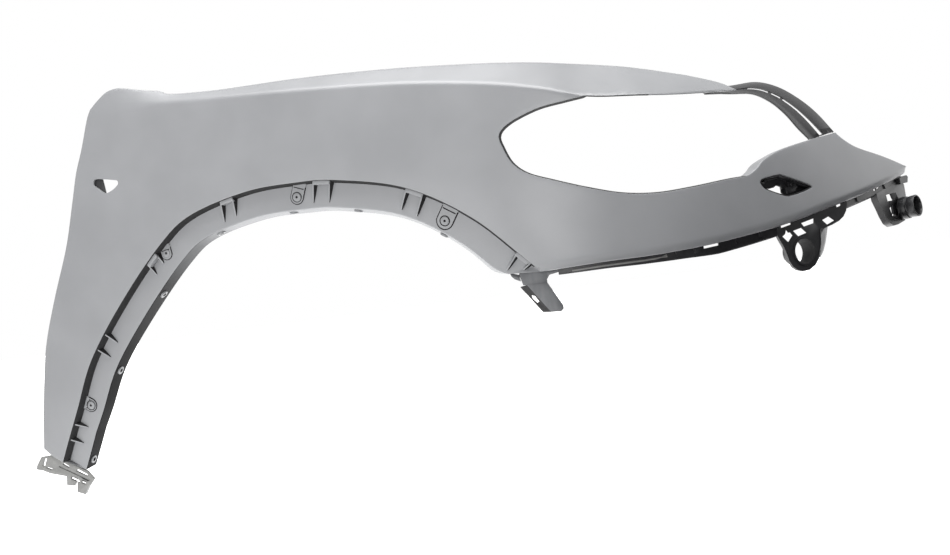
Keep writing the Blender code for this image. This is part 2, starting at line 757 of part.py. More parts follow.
def buildPanel():
    panel = addNode("outer_panel", buildSkin(), finish("primed_plastic", (0.36, 0.36, 0.37), 0.5))
    shell = panel.modifiers.new("wall", "SOLIDIFY")
    shell.thickness = wall
    shell.offset = -1.0
    shell.use_even_offset = False
    panel.modifiers.new("facets", "TRIANGULATE")

    details = bmesh.new()
    for share in ribPlaceShares:
        addRib(details, share)
    for share in padPlaceShares:
        archPrism(details, share, padOutline(), bandDepth - padRise, bandDepth + wall / 2)
    for share in collarPlaceShares:
        reach = returnReach(share, collarDepth)
        addCollar(details, share, collarRadius, reach - wall / 2, reach + collarRise)
    for share in railPadShares:
        half = railPadLength / 2
        frameBox(
            details, railPadFrame(share),
            (-half, -railPadWidth / 2, 0), (half, railPadWidth / 2, railPadThick),
        )
    addTool(panel, "panel_details", details, "UNION")

    bosses = bmesh.new()
    padMiddle = padLength - padWidth / 2
    for share in padPlaceShares:
        archPrism(bosses, share, circle(bossRadius, 14, (padMiddle, 0)),
                  bandDepth - padRise - bossRise, bandDepth - padRise / 2)
    addTool(panel, "pad_bosses", bosses, "UNION")

    cuts = bmesh.new()
    for share in padPlaceShares:
        archPrism(cuts, share, circle(dimpleRadius, 10, (padMiddle, 0)),
                  bandDepth - padRise - bossRise - overrun, bandDepth)
    for share in collarPlaceShares:
        reach = returnReach(share, collarDepth)
        addCollar(cuts, share, collarHole, reach - overrun, reach + overrun, 10)
    for share in railPadShares:
        framePrism(cuts, railPadFrame(share), circle(railHole, 12), railPadThick + overrun, -overrun)
    sheetPrism(cuts, [onSheet(share) for share in washerShares], -overrun, overrun)
    sheetPrism(cuts, [onSheet(share) for share in indicatorShares], -overrun, overrun)
    addTool(panel, "panel_cuts", cuts, "DIFFERENCE")
    return panel


def lowEdge(s):
    """The height of the skin's lower fold line at length s."""
    return between(s, lowAlong, lowHeights)


def railPoint(s, drop, depth):
    return pointAt(s, lowEdge(s) - drop, depth)


def railSpan(shares):
    return tuple((share + sheetStartShare) * sheetLength for share in shares)


def railStrip(bm, shares, drops, depths, step):
    """A bar along the skin's lower edge, between two drops below the fold line and two depths."""
    start, end = railSpan(shares)
    count = max(1, round((end - start) / step))
    rings = []
    for i in range(count + 1):
        s = start + (end - start) * i / count
        rings.append([
            railPoint(s, drops[0], depths[0]), railPoint(s, drops[1], depths[0]),
            railPoint(s, drops[1], depths[1]), railPoint(s, drops[0], depths[1]),
        ])
    addSweep(bm, rings)


def addSkirt(bm, lowLine, depths):
    """A plate that hangs from the rail down to a line of sheet points, between two depths."""
    rings = []
    for s, v in lowLine:
        top = lowEdge(s) - railTop - railDrop / 4
        rings.append([
            pointAt(s, top, depths[0]), pointAt(s, v, depths[0]),
            pointAt(s, v, depths[1]), pointAt(s, top, depths[1]),
        ])
    addSweep(bm, rings)


def buildRail():
    """The rail that the nose is clipped to, with the ring and the hanging bracket that hang from it."""
    black = finish("black_plastic", (0.022, 0.022, 0.024), 0.38)
    bm = bmesh.new()
    start, end = railSpan(railShares)
    count = round((end - start) / railStep)
    rings = []
    for i in range(count + 1):
        s = start + (end - start) * i / count
        drop = railDropRear + (railDrop - railDropRear) * smooth(start, start + 2 * railStep, s)
        inner = railOut + railWall
        rings.append([
            railPoint(s, railTop, railOut), railPoint(s, drop, railOut),
            railPoint(s, drop, inner + railShelf), railPoint(s, drop - railWall, inner + railShelf),
            railPoint(s, drop - railWall, inner), railPoint(s, railTop, inner),
        ])
    addSweep(bm, rings)
    rail = addNode("bumper_rail", bm, black)

    fittings = bmesh.new()
    half = clipLength / sheetLength / 2
    for share in railClipShares:
        railStrip(
            fittings, (share - half, share + half),
            (-clipReach, railTop + railWall), (railOut - 2 * railWall, railOut + railWall * 0.8), railStep,
        )
    railStrip(fittings, beadShares, (beadDrop, beadDrop + beadHeight),
              (railOut - beadRise, railOut + railWall / 2), railStep)
    addTool(rail, "rail_clips", fittings, "UNION", "MANIFOLD")

    hangers = bmesh.new()
    centre = onSheet(ringShare)
    turns = 12
    arc = [
        (centre[0] - ringRadius * math.cos(math.pi * i / turns), centre[1] - ringRadius * math.sin(math.pi * i / turns))
        for i in range(turns + 1)
    ]
    lugOut = railOut + wall / 2
    lug = [onSheet(share) for share in lugLeftShares] + arc + [onSheet(share) for share in lugRightShares]
    addSkirt(hangers, lug, (lugOut, lugOut + lugThick))
    addSkirt(hangers, [onSheet(share) for share in hangerShares], (lugOut, lugOut + hangerThick))
    addTool(rail, "rail_hangers", hangers, "UNION", "MANIFOLD")

    tube = bmesh.new()
    ringFrame = placeAt(*centre, lugOut)
    framePrism(tube, ringFrame, circle(ringTubeRadius, 24), -lugThick / 2, -ringLength)
    addTool(rail, "ring_tube", tube, "UNION", "MANIFOLD")
    seat = bmesh.new()
    framePrism(seat, placeAt(*onSheet(socketShare), lugOut), circle(socketBaseRadius + socketWall, 24),
               socketSeat, -hangerThick / 2)
    addTool(rail, "socket_seat", seat, "UNION", "MANIFOLD")

    cuts = bmesh.new()
    framePrism(cuts, ringFrame, circle(ringBore, 24), overrun, -ringLength - overrun)
    for share in railSlotShares:
        railStrip(cuts, share, (slotTop, slotTop + slotHeight), (railOut - overrun / 2, railOut + railWall + overrun),
                  railStep)
    for share in lugWindowShares:
        s, v = onSheet(share)
        across, up, slant = lugWindowLength / 2, lugWindowHeight / 2, lugWindowHeight / 4
        window = [(s - across - slant, v - up), (s + across - slant, v - up),
                  (s + across + slant, v + up), (s - across + slant, v + up)]
        sheetPrism(cuts, window, lugOut - overrun, lugOut + lugThick + overrun)
    sheetPrism(cuts, [onSheet(share) for share in hangerWindowShares], lugOut - overrun,
               lugOut + hangerThick + overrun)
    addTool(rail, "rail_cuts", cuts, "DIFFERENCE", "MANIFOLD")


def buildSocket():
    """A tapered cup with a collar, standing on the hanging bracket."""
    turn, point = placeAt(*onSheet(socketShare), railOut + wall / 2)
    seat = socketSeat + clearance
    profile = [
        (socketBaseRadius - socketWall, seat + socketWall), (socketBaseRadius / 3, seat + socketWall),
        (socketBaseRadius / 3, seat), (socketBaseRadius, seat),
        (socketMouthRadius, socketLength - socketRim), (socketRimRadius, socketLength - socketRim),
        (socketRimRadius, socketLength), (socketMouthRadius - socketWall, socketLength),
    ]
    sides = 24
    bm = bmesh.new()
    rings = []
    for radius, height in profile:
        rings.append([bm.verts.new(turn @ Vector((x, y, height)) + point) for x, y in circle(radius, sides)])
    for first, second in zip(rings, rings[1:] + rings[:1]):
        for i in range(sides):
            j = (i + 1) % sides
            bm.faces.new((first[i], first[j], second[j], second[i]))
    addNode("locating_socket", bm, finish("black_plastic", (0.022, 0.022, 0.024), 0.38))


def sideAt(s, v, depth):
    """A point on the side carried up past the crease, which the strut follows."""
    foot, inboard = planAt(s)
    return foot + inboard * (insetAt(s, v) + depth) + Vector((0, 0, v)) - origin


def strutEdge(shares, depths):
    knots = [(*onSheet(share), depth) for share, depth in zip(shares, depths)]
    return [sideAt(*knot) for knot in spline(knots, 6)]


def strutFrame(inner, outer, share):
    """The two edges of the strut at a share of its run, and the way into the body there."""
    places = [i / (len(inner) - 1) for i in range(len(inner))]
    edges = []
    for edge in (inner, outer):
        edges.append(Vector([between(share, places, [p[k] for p in edge]) for k in range(3)]))
    probe = 1 / len(places)
    ahead = [between(min(1.0, share + probe), places, [p[k] for p in inner]) for k in range(3)]
    behind = [between(max(0.0, share - probe), places, [p[k] for p in inner]) for k in range(3)]
    run = (Vector(ahead) - Vector(behind)).normalized()
    inward = run.cross(edges[1] - edges[0]).normalized()
    if inward.y < 0:
        inward = -inward
    return edges[0], edges[1], inward


def buildStrut():
    """The black strip from the brow's tip to the nose, slotted along its middle."""
    inner, outer = strutEdge(strutInnerShares, strutInnerDepths), strutEdge(strutOuterShares, strutOuterDepths)
    steps = 18
    rings = []
    for i in range(steps + 1):
        low, high, inward = strutFrame(inner, outer, i / steps)
        rings.append([low, high, high + inward * strutThick, low + inward * strutThick])
    inward = rings[-1][3] - rings[-1][0]
    for drop in (strutShoulder, strutTongue):
        low, high = [sideAt(s, v - drop, wall + skinGap) for s, v in map(onSheet, strutTongueShares)]
        rings.append([low, high, high + inward, low + inward])
    bm = bmesh.new()
    addSweep(bm, rings)
    strut = addNode("lamp_strut", bm, finish("black_plastic", (0.022, 0.022, 0.024), 0.38))

    slots = bmesh.new()
    for start, end in strutSlotShares:
        count = 6
        rings = []
        for i in range(count + 1):
            low, high, inward = strutFrame(inner, outer, start + (end - start) * i / count)
            middle, across = (low + high) / 2, (high - low).normalized() * strutSlot / 2
            outside, inside = middle - inward * strutThick, middle + inward * strutThick * 2
            rings.append([outside - across, outside + across, inside + across, inside - across])
        addSweep(slots, rings)
    addTool(strut, "strut_slots", slots, "DIFFERENCE")


def buildWasherGuide():
    """The black frame and nozzle block inside the washer opening."""
    opening = [onSheet(share) for share in washerShares]
    bm = bmesh.new()
    sheetPrism(bm, grown(opening, -fitGap), wall / 2, guideDepth)
    guide = addNode("washer_guide", bm, finish("black_plastic", (0.022, 0.022, 0.024), 0.38))
    flange = bmesh.new()
    sheetPrism(flange, grown(opening, guideFlange), wall + skinGap, wall + skinGap + guideFlangeThick)
    addTool(guide, "guide_flange", flange, "UNION", "MANIFOLD")
    hollow = bmesh.new()
    sheetPrism(hollow, grown(opening, -fitGap - guideWall), -overrun, guideDepth + overrun)
    addTool(guide, "guide_hollow", hollow, "DIFFERENCE", "MANIFOLD")
    block = bmesh.new()
    sheetPrism(block, [onSheet(share) for share in guideBlockShares], guideDepth / 3, guideDepth - guideWall)
    addTool(guide, "guide_block", block, "UNION", "MANIFOLD")


def buildIndicatorClip():
    bm = bmesh.new()
    outline = [onSheet(share) for share in indicatorClipShares]
    sheetPrism(bm, outline, wall + skinGap, wall + skinGap + clipPlate)
    addNode("indicator_clip", bm, finish("black_plastic", (0.022, 0.022, 0.024), 0.38))


def buildArchBracket():
    """The folded plate at the front end of the arch: a flange, a face and a slanting flank."""
    foldTop, foldBottom = (onSheet(share) for share in bracketFoldShares)
    edgeTop, edgeLow, edgeCorner = (onSheet(share) for share in bracketEdgeShares)
    flankTop, flankBottom = (onSheet(share) for share in bracketFlankShares)
    neckLeft, neckRight = (onSheet(share) for share in bracketNeckShares)
    steel = finish("grey_steel", (0.16, 0.16, 0.165), 0.45, 0.6)
    deep = bracketOut + bracketFlank
    share = (foldTop[1] - edgeLow[1]) / (foldTop[1] - foldBottom[1])
    foldLow = tuple(a + (b - a) * share for a, b in zip(foldTop, foldBottom))
    flankLow = tuple(a + (b - a) * share for a, b in zip(flankTop, flankBottom))
    rows = [(flankTop, foldTop, edgeTop), (flankLow, foldLow, edgeLow), (flankBottom, foldBottom, edgeCorner)]
    bm = bmesh.new()
    rings = []
    for flankSpot, foldSpot, edgeSpot in rows:
        rings.append([
            pointAt(*flankSpot, deep), pointAt(*foldSpot, bracketOut), pointAt(*edgeSpot, bracketOut),
            pointAt(*edgeSpot, bracketOut + bracketThick),
            pointAt(foldSpot[0] + bracketThick / 3, foldSpot[1], bracketOut + bracketThick),
            pointAt(flankSpot[0] + bracketThick * 0.7, flankSpot[1], deep + bracketThick * 0.7),
        ])
    addSweep(bm, rings)
    bracket = addNode("arch_bracket", bm, steel)

    top = bmesh.new()
    rings = []
    inner = bracketOut + bracketThick
    for (s, v), (neckS, neckV) in ((foldTop, neckLeft), (edgeTop, neckRight)):
        low = v - bracketThick
        rings.append([
            pointAt(s, low, bracketOut + bracketThick / 4), pointAt(neckS, neckV, bracketOut + bracketThick / 4),
            pointAt(neckS, neckV, bracketOut + bracketFlange),
            pointAt(neckS, neckV - bracketThick, bracketOut + bracketFlange),
            pointAt(neckS, neckV - bracketThick, inner + bracketThick / 8), pointAt(s, low, inner + bracketThick / 8),
        ])
    addSweep(top, rings)
    addTool(bracket, "bracket_flange", top, "UNION")

    slot = bmesh.new()
    start, end = (onSheet(share) for share in bracketSlotShares)
    width = bracketFlank / 3
    outline = [(start[0] - width / 2, start[1]), (start[0] + width / 2, start[1]),
               (end[0] + width / 2, end[1]), (end[0] - width / 2, end[1])]
    sheetPrism(slot, outline, bracketOut - overrun, deep + overrun)
    addTool(bracket, "bracket_slot", slot, "DIFFERENCE")


def buildSillClip():
    """The light strip of clips at the foot of the leg."""
    frame = placeAt(*onSheet(sillMiddleShare), sillClipOut)
    bm = bmesh.new()
    framePrism(bm, frame, framed(frame, [onSheet(share) for share in sillClipShares]), 0, -sillClipThick)
    clip = addNode("sill_clip", bm, finish("pale_plastic", (0.42, 0.42, 0.42), 0.5))
    hooks = bmesh.new()
    for shares in hookShares:
        framePrism(hooks, frame, framed(frame, [onSheet(share) for share in shares]),
                   -sillClipThick / 4, -hookThick)
    addTool(clip, "clip_hooks", hooks, "UNION", "MANIFOLD")
    cuts = bmesh.new()
    for shares in sillWindowShares:
        framePrism(cuts, frame, framed(frame, [onSheet(share) for share in shares]), overrun, -overrun)
    addTool(clip, "clip_windows", cuts, "DIFFERENCE", "MANIFOLD")
    groove = bmesh.new()
    framePrism(groove, frame, framed(frame, [onSheet(share) for share in sillGrooveShares]), overrun, -sillGroove)
    addTool(clip, "clip_groove", groove, "DIFFERENCE", "MANIFOLD")


lowCurve = sheetCurve(lowShares)
lowAlong = [p[0] for p in lowCurve]
lowHeights = [p[1] for p in lowCurve]


def clearScene():
    for item in list(bpy.data.objects):
        bpy.data.objects.remove(item, do_unlink=True)


clearScene()
buildPanel()
buildRail()
buildSocket()
buildStrut()
buildWasherGuide()
buildIndicatorClip()
buildArchBracket()
buildSillClip()
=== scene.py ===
# Looks of the right front fender of a tall car: a primed moulding with its black carriers and clips.
import math

import bmesh
import bpy
import numpy as np
from mathutils import Matrix, Vector, kdtree
from mathutils.geometry import delaunay_2d_cdt


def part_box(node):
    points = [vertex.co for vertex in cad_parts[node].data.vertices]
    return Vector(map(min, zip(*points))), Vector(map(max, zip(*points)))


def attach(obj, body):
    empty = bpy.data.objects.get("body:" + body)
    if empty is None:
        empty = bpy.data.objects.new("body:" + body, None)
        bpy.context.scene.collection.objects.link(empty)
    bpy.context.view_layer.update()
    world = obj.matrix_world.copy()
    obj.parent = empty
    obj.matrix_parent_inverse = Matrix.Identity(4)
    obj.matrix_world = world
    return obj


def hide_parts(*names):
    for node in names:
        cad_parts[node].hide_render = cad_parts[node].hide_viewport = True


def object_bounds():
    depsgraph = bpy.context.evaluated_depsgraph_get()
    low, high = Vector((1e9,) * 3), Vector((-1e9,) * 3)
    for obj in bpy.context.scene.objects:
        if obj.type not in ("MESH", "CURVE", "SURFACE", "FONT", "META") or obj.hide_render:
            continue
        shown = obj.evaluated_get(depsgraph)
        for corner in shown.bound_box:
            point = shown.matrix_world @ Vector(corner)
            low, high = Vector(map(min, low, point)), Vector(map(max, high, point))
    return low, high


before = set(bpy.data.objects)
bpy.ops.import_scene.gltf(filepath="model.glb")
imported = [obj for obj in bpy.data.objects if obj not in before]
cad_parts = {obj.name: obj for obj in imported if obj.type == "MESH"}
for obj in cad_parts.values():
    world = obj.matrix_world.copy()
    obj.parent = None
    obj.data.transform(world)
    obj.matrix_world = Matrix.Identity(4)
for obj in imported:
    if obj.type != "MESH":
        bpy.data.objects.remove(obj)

cadBox = [[float(x) for x in corner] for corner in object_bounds()]
bpy.ops.object.select_all(action="DESELECT")
print("frame loaded")

# The part's zero, on the hood ledge pad, seen from the ground under the wheel.
zero = np.array((0.05306026339530945, 0.08834933489561081, 0.6152821183204651))

# The body surface that the skin is laid on, in metres, and its outlines as shares of a flat sheet.
body = {
    "sheetLength": 1.65, "sheetHeight": 0.60, "footHeight": 0.075, "sheetStart": -0.376,
    "noseDepth": 0.50, "waistHeight": 0.22, "leanRise": 0.40, "rearLean": 0.035, "noseLean": 0.090,
    "tuckDrop": 0.27, "tuck": 0.022, "archRadius": 0.472, "archCentre": (-0.081, 0.031),
    "flareWidth": 0.09, "flare": 0.010, "shoulderTilt": math.radians(58), "fadedTilt": math.radians(16),
    "leanSpan": (0.212, 0.515), "tiltSpan": (-0.261, -0.152), "probe": 0.0028, "planProbe": 0.015,
    # rounding of the crease: its radius, what the rear adds, the share that the nose takes off, and where
    "creaseRadius": 0.0045, "rearRadius": 0.026, "rearSpan": (-0.47, -0.30), "noseShare": 0.60,
    "noseSpan": (0.30, 0.41),
    "plan": [
        (-0.576, 0.120), (-0.364, 0.048), (-0.242, 0.020), (-0.121, 0.004), (0.0, 0.0), (0.109, 0.012),
        (0.200, 0.056), (0.279, 0.144), (0.345, 0.276), (0.400, 0.444), (0.445, 0.660), (0.476, 0.900),
        (0.494, 1.160), (0.506, 1.500), (0.512, 1.900),
    ],
    "crease": [
        (-0.048, 0.975), (0.108, 0.951), (0.279, 0.919), (0.376, 0.899), (0.448, 0.879), (0.521, 0.848),
        (0.576, 0.813), (0.620, 0.775), (0.671, 0.757), (0.708, 0.745), (0.755, 0.735), (0.800, 0.728),
        (0.861, 0.722),
    ],
}


def splineThrough(points, steps):
    points = np.array(points, float)
    ends = np.vstack([2 * points[0] - points[1], points, 2 * points[-1] - points[-2]])
    t = (np.arange(steps) / steps)[:, None]
    rows = []
    for a, b, c, d in zip(ends, ends[1:], ends[2:], ends[3:]):
        square, cube = 2 * a - 5 * b + 4 * c - d, 3 * b - 3 * c + d - a
        rows.append(0.5 * (2 * b + (c - a) * t + square * t ** 2 + cube * t ** 3))
    return np.vstack(rows + [points[-1:]])


def runLength(curve):
    return np.concatenate([[0.0], np.cumsum(np.linalg.norm(np.diff(curve, axis=0), axis=1))])


def smooth(start, end, x):
    t = np.clip((x - start) / (end - start), 0, 1)
    return t * t * (3 - 2 * t)


def unit(ways):
    return ways / np.linalg.norm(ways, axis=-1, keepdims=True)


def sheetPlace(share):
    return (share + body["sheetStart"]) * body["sheetLength"]


def onSheet(shares):
    shares = np.array(shares, float)
    return np.stack([sheetPlace(shares[..., 0]), body["footHeight"] + shares[..., 1] * body["sheetHeight"]], -1)


def sheetCurve(shares, steps=40):
    return splineThrough(onSheet(shares), steps)


planCurve = splineThrough(np.array(body["plan"]) * (body["sheetLength"], body["noseDepth"]), 200)
planRun = runLength(planCurve)
planRun -= np.interp(0.0, planCurve[:, 0], planRun)
creaseLine = sheetCurve(body["crease"], 60)


def plan(s):
    def at(x):
        return np.stack([np.interp(x, planRun, planCurve[:, 0]), np.interp(x, planRun, planCurve[:, 1])], -1)
    foot, way = at(s), at(s + body["planProbe"]) - at(s - body["planProbe"])
    way = np.stack([-way[..., 1], way[..., 0]], -1)
    return foot, unit(way)


def creaseAt(s):
    return np.interp(s, creaseLine[:, 0], creaseLine[:, 1])


def inset(s, z):
    first, last = (share * body["sheetLength"] for share in body["leanSpan"])
    lean = body["rearLean"] + body["noseLean"] * smooth(first, last, s)
    up = z - body["waistHeight"]
    depth = np.where(up > 0, lean * (up / body["leanRise"]) ** 2, body["tuck"] * (up / body["tuckDrop"]) ** 2)
    off = np.hypot(s - body["archCentre"][0], z - body["archCentre"][1]) - body["archRadius"]
    return depth - body["flare"] * np.exp(-(off / body["flareWidth"]) ** 2)


def creaseRadius(s):
    radius = body["creaseRadius"] + body["rearRadius"] * (1 - smooth(*body["rearSpan"], s))
    return radius * (1 - body["noseShare"] * smooth(*body["noseSpan"], s))


def surface(s, v):
    # the body point and the way into the body, with the crease between side and shoulder rounded over
    s, v = np.asarray(s, float), np.asarray(v, float)
    foot, inboard = plan(s)
    crease = creaseAt(s)
    first, last = (share * body["sheetLength"] for share in body["tiltSpan"])
    tilt = body["fadedTilt"] + (body["shoulderTilt"] - body["fadedTilt"]) * smooth(first, last, s)
    over = v - crease
    probe = body["probe"]
    low = np.minimum(v, crease)
    slope = (inset(s, low + probe) - inset(s, low - probe)) / (2 * probe)
    above = np.maximum(over, 0)
    depth = inset(s, low) + above * np.sin(tilt)
    height = low + above * np.cos(tilt)
    radius = creaseRadius(s)
    near = np.clip(radius - np.abs(over), 0, None) ** 2 / (4 * radius)
    depth += (np.sin(tilt) - slope) * near
    height += (np.cos(tilt) - 1) * near
    blend = smooth(-radius, radius, over)
    sideIn = np.stack([inboard[..., 0], inboard[..., 1], -slope], -1)
    sideIn = unit(sideIn)
    shoulderIn = np.stack([inboard[..., 0] * np.cos(tilt), inboard[..., 1] * np.cos(tilt), -np.sin(tilt)], -1)
    inward = sideIn * (1 - blend)[..., None] + shoulderIn * blend[..., None]
    inward = unit(inward)
    point = np.stack([foot[..., 0] + inboard[..., 0] * depth, foot[..., 1] + inboard[..., 1] * depth, height], -1)
    return point - zero, inward


def place(s, v, depth=0.0, ledge=0.0):
    # the body point moved inwards by depth, and level inwards by ledge
    s, v, depth, ledge = np.broadcast_arrays(s, v, depth, ledge)
    point, inward = surface(s, v)
    point = point + inward * depth[..., None]
    point[..., :2] += plan(s)[1] * ledge[..., None]
    return point


# Finishes. Each has a mottle of patch size and detail, its tones and gloss by that mottle, grains of size, detail,
# strength and depth, and shader settings. Where runs are given, the mottle is drawn out along Z.
recipes = {
    # sprayed on a moulded part: an even grey with a fine orange peel that softens what it reflects
    "satin grey primer": {
        "patch": (0.12, 3), "tones": [(0.35, "#6e6f71"), (0.65, "#747577")], "gloss": [(0.3, 0.33), (0.7, 0.38)],
        "grains": [(0.0022, 2, 0.10, 0.0002), (0.0007, 1, 0.16, 0.00012)], "set": {"IOR": 1.5},
    },
    # polypropylene: a spark-eroded grain breaks up its soft highlights
    "black moulded plastic": {
        "patch": (0.03, 3), "tones": [(0.3, "#161618"), (0.7, "#1e1e20")], "gloss": [(0.3, 0.34), (0.7, 0.46)],
        "grains": [(0.0009, 2, 0.25, 0.00015)], "set": {"IOR": 1.49},
    },
    # pressed sheet under a thin coat, with a weak metal sheen and slight runs
    "dark dip-coated steel": {
        "patch": (1, 4), "runs": (0.012, 0.012, 0.04), "tones": [(0.3, "#4a4b4d"), (0.7, "#5c5d5f")],
        "gloss": [(0.3, 0.40), (0.7, 0.55)], "grains": [(0.0012, 2, 0.15, 0.0001)], "set": {"Metallic": 0.35},
    },
    # unpainted grey polyoxymethylene, slightly waxy
    "pale moulded plastic": {
        "patch": (0.015, 2), "tones": [(0.3, "#60605f"), (0.7, "#6b6b69")], "gloss": [(0.3, 0.40), (0.7, 0.52)],
        "grains": [(0.0012, 2, 0.12, 0.0001)], "set": {"IOR": 1.48},
    },
    # a dull near-black with a little mottle, used as painted shade in hollows and on faces turned from the light
    "dark compound for painted shade": {
        "patch": (0.004, 3), "tones": [(0.35, "#0c0c0d"), (0.75, "#1a1a1b")], "grains": [(0.0008, 2, 0.2, 0.0001)],
        "set": {"Roughness": 0.75, "IOR": 1.4},
    },
    "white studio floor": {
        "patch": (0.4, 2), "tones": [(0.3, "#f4f4f4"), (0.7, "#f7f7f7")],
        "set": {"Roughness": 0.9, "Emission Color": (1, 1, 1, 1), "Emission Strength": 1.2},
    },
    "black flag cloth": {
        "patch": (0.01, 2), "tones": [(0.3, "#030303"), (0.7, "#060606")], "set": {"Roughness": 1.0},
    },
}


def linear(hexColour):
    parts = [int(hexColour[i:i + 2], 16) / 255 for i in (1, 3, 5)]
    return tuple(c / 12.92 if c <= 0.04045 else ((c + 0.055) / 1.055) ** 2.4 for c in parts) + (1.0,)


def addNode(material, kind, settings=None, **links):
    tree = material.node_tree
    node = tree.nodes.new(kind)
    for name, value in (settings or {}).items():
        if name in node.inputs:
            node.inputs[name].default_value = value
        else:
            setattr(node, name, value)
    for name, source in links.items():
        key = name.replace("_", " ")
        tree.links.new(source, node.inputs[int(key[5:])] if key.startswith("input") else node.inputs[key])
    return node


def rampOf(material, source, stops):
    ramp = addNode(material, "ShaderNodeValToRGB", input0=source)
    elements = ramp.color_ramp.elements
    while len(elements) < len(stops):
        elements.new(0.5)
    for element, (position, colour) in zip(elements, stops):
        element.position = position
        element.color = linear(colour) if isinstance(colour, str) else (colour, colour, colour, 1.0)
    return ramp.outputs["Color"]


def newMaterial(name):
    material = bpy.data.materials.new(name)
    material.use_nodes = True
    shader = material.node_tree.nodes["Principled BSDF"]
    where = addNode(material, "ShaderNodeTexCoord").outputs["Object"]
    return material, shader, where


def feed(material, shader, **links):
    for name, source in links.items():
        material.node_tree.links.new(source, shader.inputs[name.replace("_", " ")])


def addNoise(material, size, detail, where):
    return addNode(material, "ShaderNodeTexNoise", {"Scale": 1 / size, "Detail": detail}, Vector=where).outputs["Fac"]


def finishShader(material, shader, where, grains, settings):
    normal = {}
    for size, detail, strength, depth in grains:
        height = addNoise(material, size, detail, where)
        bump = addNode(material, "ShaderNodeBump", {"Strength": strength, "Distance": depth}, Height=height, **normal)
        normal = {"Normal": bump.outputs["Normal"]}
    feed(material, shader, **normal)
    for name, value in settings.items():
        shader.inputs[name].default_value = value
    return material


def makeFinish(name):
    recipe = recipes[name]
    material, shader, where = newMaterial(name)
    drawn = where
    if "runs" in recipe:
        scale = tuple(1 / length for length in recipe["runs"])
        drawn = addNode(material, "ShaderNodeMapping", {"Scale": scale}, Vector=where).outputs["Vector"]
    mottle = addNoise(material, *recipe["patch"], drawn)
    feed(material, shader, Base_Color=rampOf(material, mottle, recipe["tones"]))
    if "gloss" in recipe:
        feed(material, shader, Roughness=rampOf(material, mottle, recipe["gloss"]))
    return finishShader(material, shader, where, recipe.get("grains", []), recipe["set"])


# The primer on the wheel's return with painted shade: near-black towards the rear leg and lighter forwards along X,
# its sheen following, standing for the return lying in shade at the leg.
returnShade = {
    "patch": (0.02, 3), "drift": 0.02, "from": -0.50, "to": -0.20,
    "tones": [(0.1, "#0e0e0f"), (0.4, "#1b1b1c"), (0.62, "#454648"), (0.85, "#7b7c7e")],
    "sheen": [(0.1, 0.08), (0.4, 0.2), (0.62, 0.5), (0.85, 0.6)],
    "grains": [(0.0009, 2, 0.2, 0.00012)], "set": {"Roughness": 0.55, "IOR": 1.4},
}


def makeShadedReturn():
    material, shader, where = newMaterial("primer with painted shade on the return")
    along = addNode(material, "ShaderNodeSeparateXYZ", Vector=where).outputs["X"]
    cloud = addNoise(material, *returnShade["patch"], where)
    drift = addNode(material, "ShaderNodeMath", {"operation": "MULTIPLY_ADD"}, input0=cloud, input2=along)
    drift.inputs[1].default_value = returnShade["drift"]
    span = {"From Min": returnShade["from"], "From Max": returnShade["to"]}
    share = addNode(material, "ShaderNodeMapRange", span, Value=drift.outputs["Value"]).outputs["Result"]
    tones, sheen = (rampOf(material, share, returnShade[key]) for key in ("tones", "sheen"))
    feed(material, shader, Base_Color=tones, Specular_IOR_Level=sheen)
    return finishShader(material, shader, where, returnShade["grains"], returnShade["set"])


primer, blackPlastic = makeFinish("satin grey primer"), makeFinish("black moulded plastic")
coatedSteel, palePlastic = makeFinish("dark dip-coated steel"), makeFinish("pale moulded plastic")
paintedShadeCompound, returnShadePrimer = makeFinish("dark compound for painted shade"), makeShadedReturn()
finishes = {
    "outer_panel": primer, "bumper_rail": blackPlastic, "locating_socket": blackPlastic, "lamp_strut": blackPlastic,
    "washer_guide": blackPlastic, "indicator_clip": blackPlastic, "arch_bracket": coatedSteel,
    "sill_clip": palePlastic,
}
for node, finish in finishes.items():
    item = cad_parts[node]
    for holder in item.material_slots:
        holder.material = finish
print("materials made")

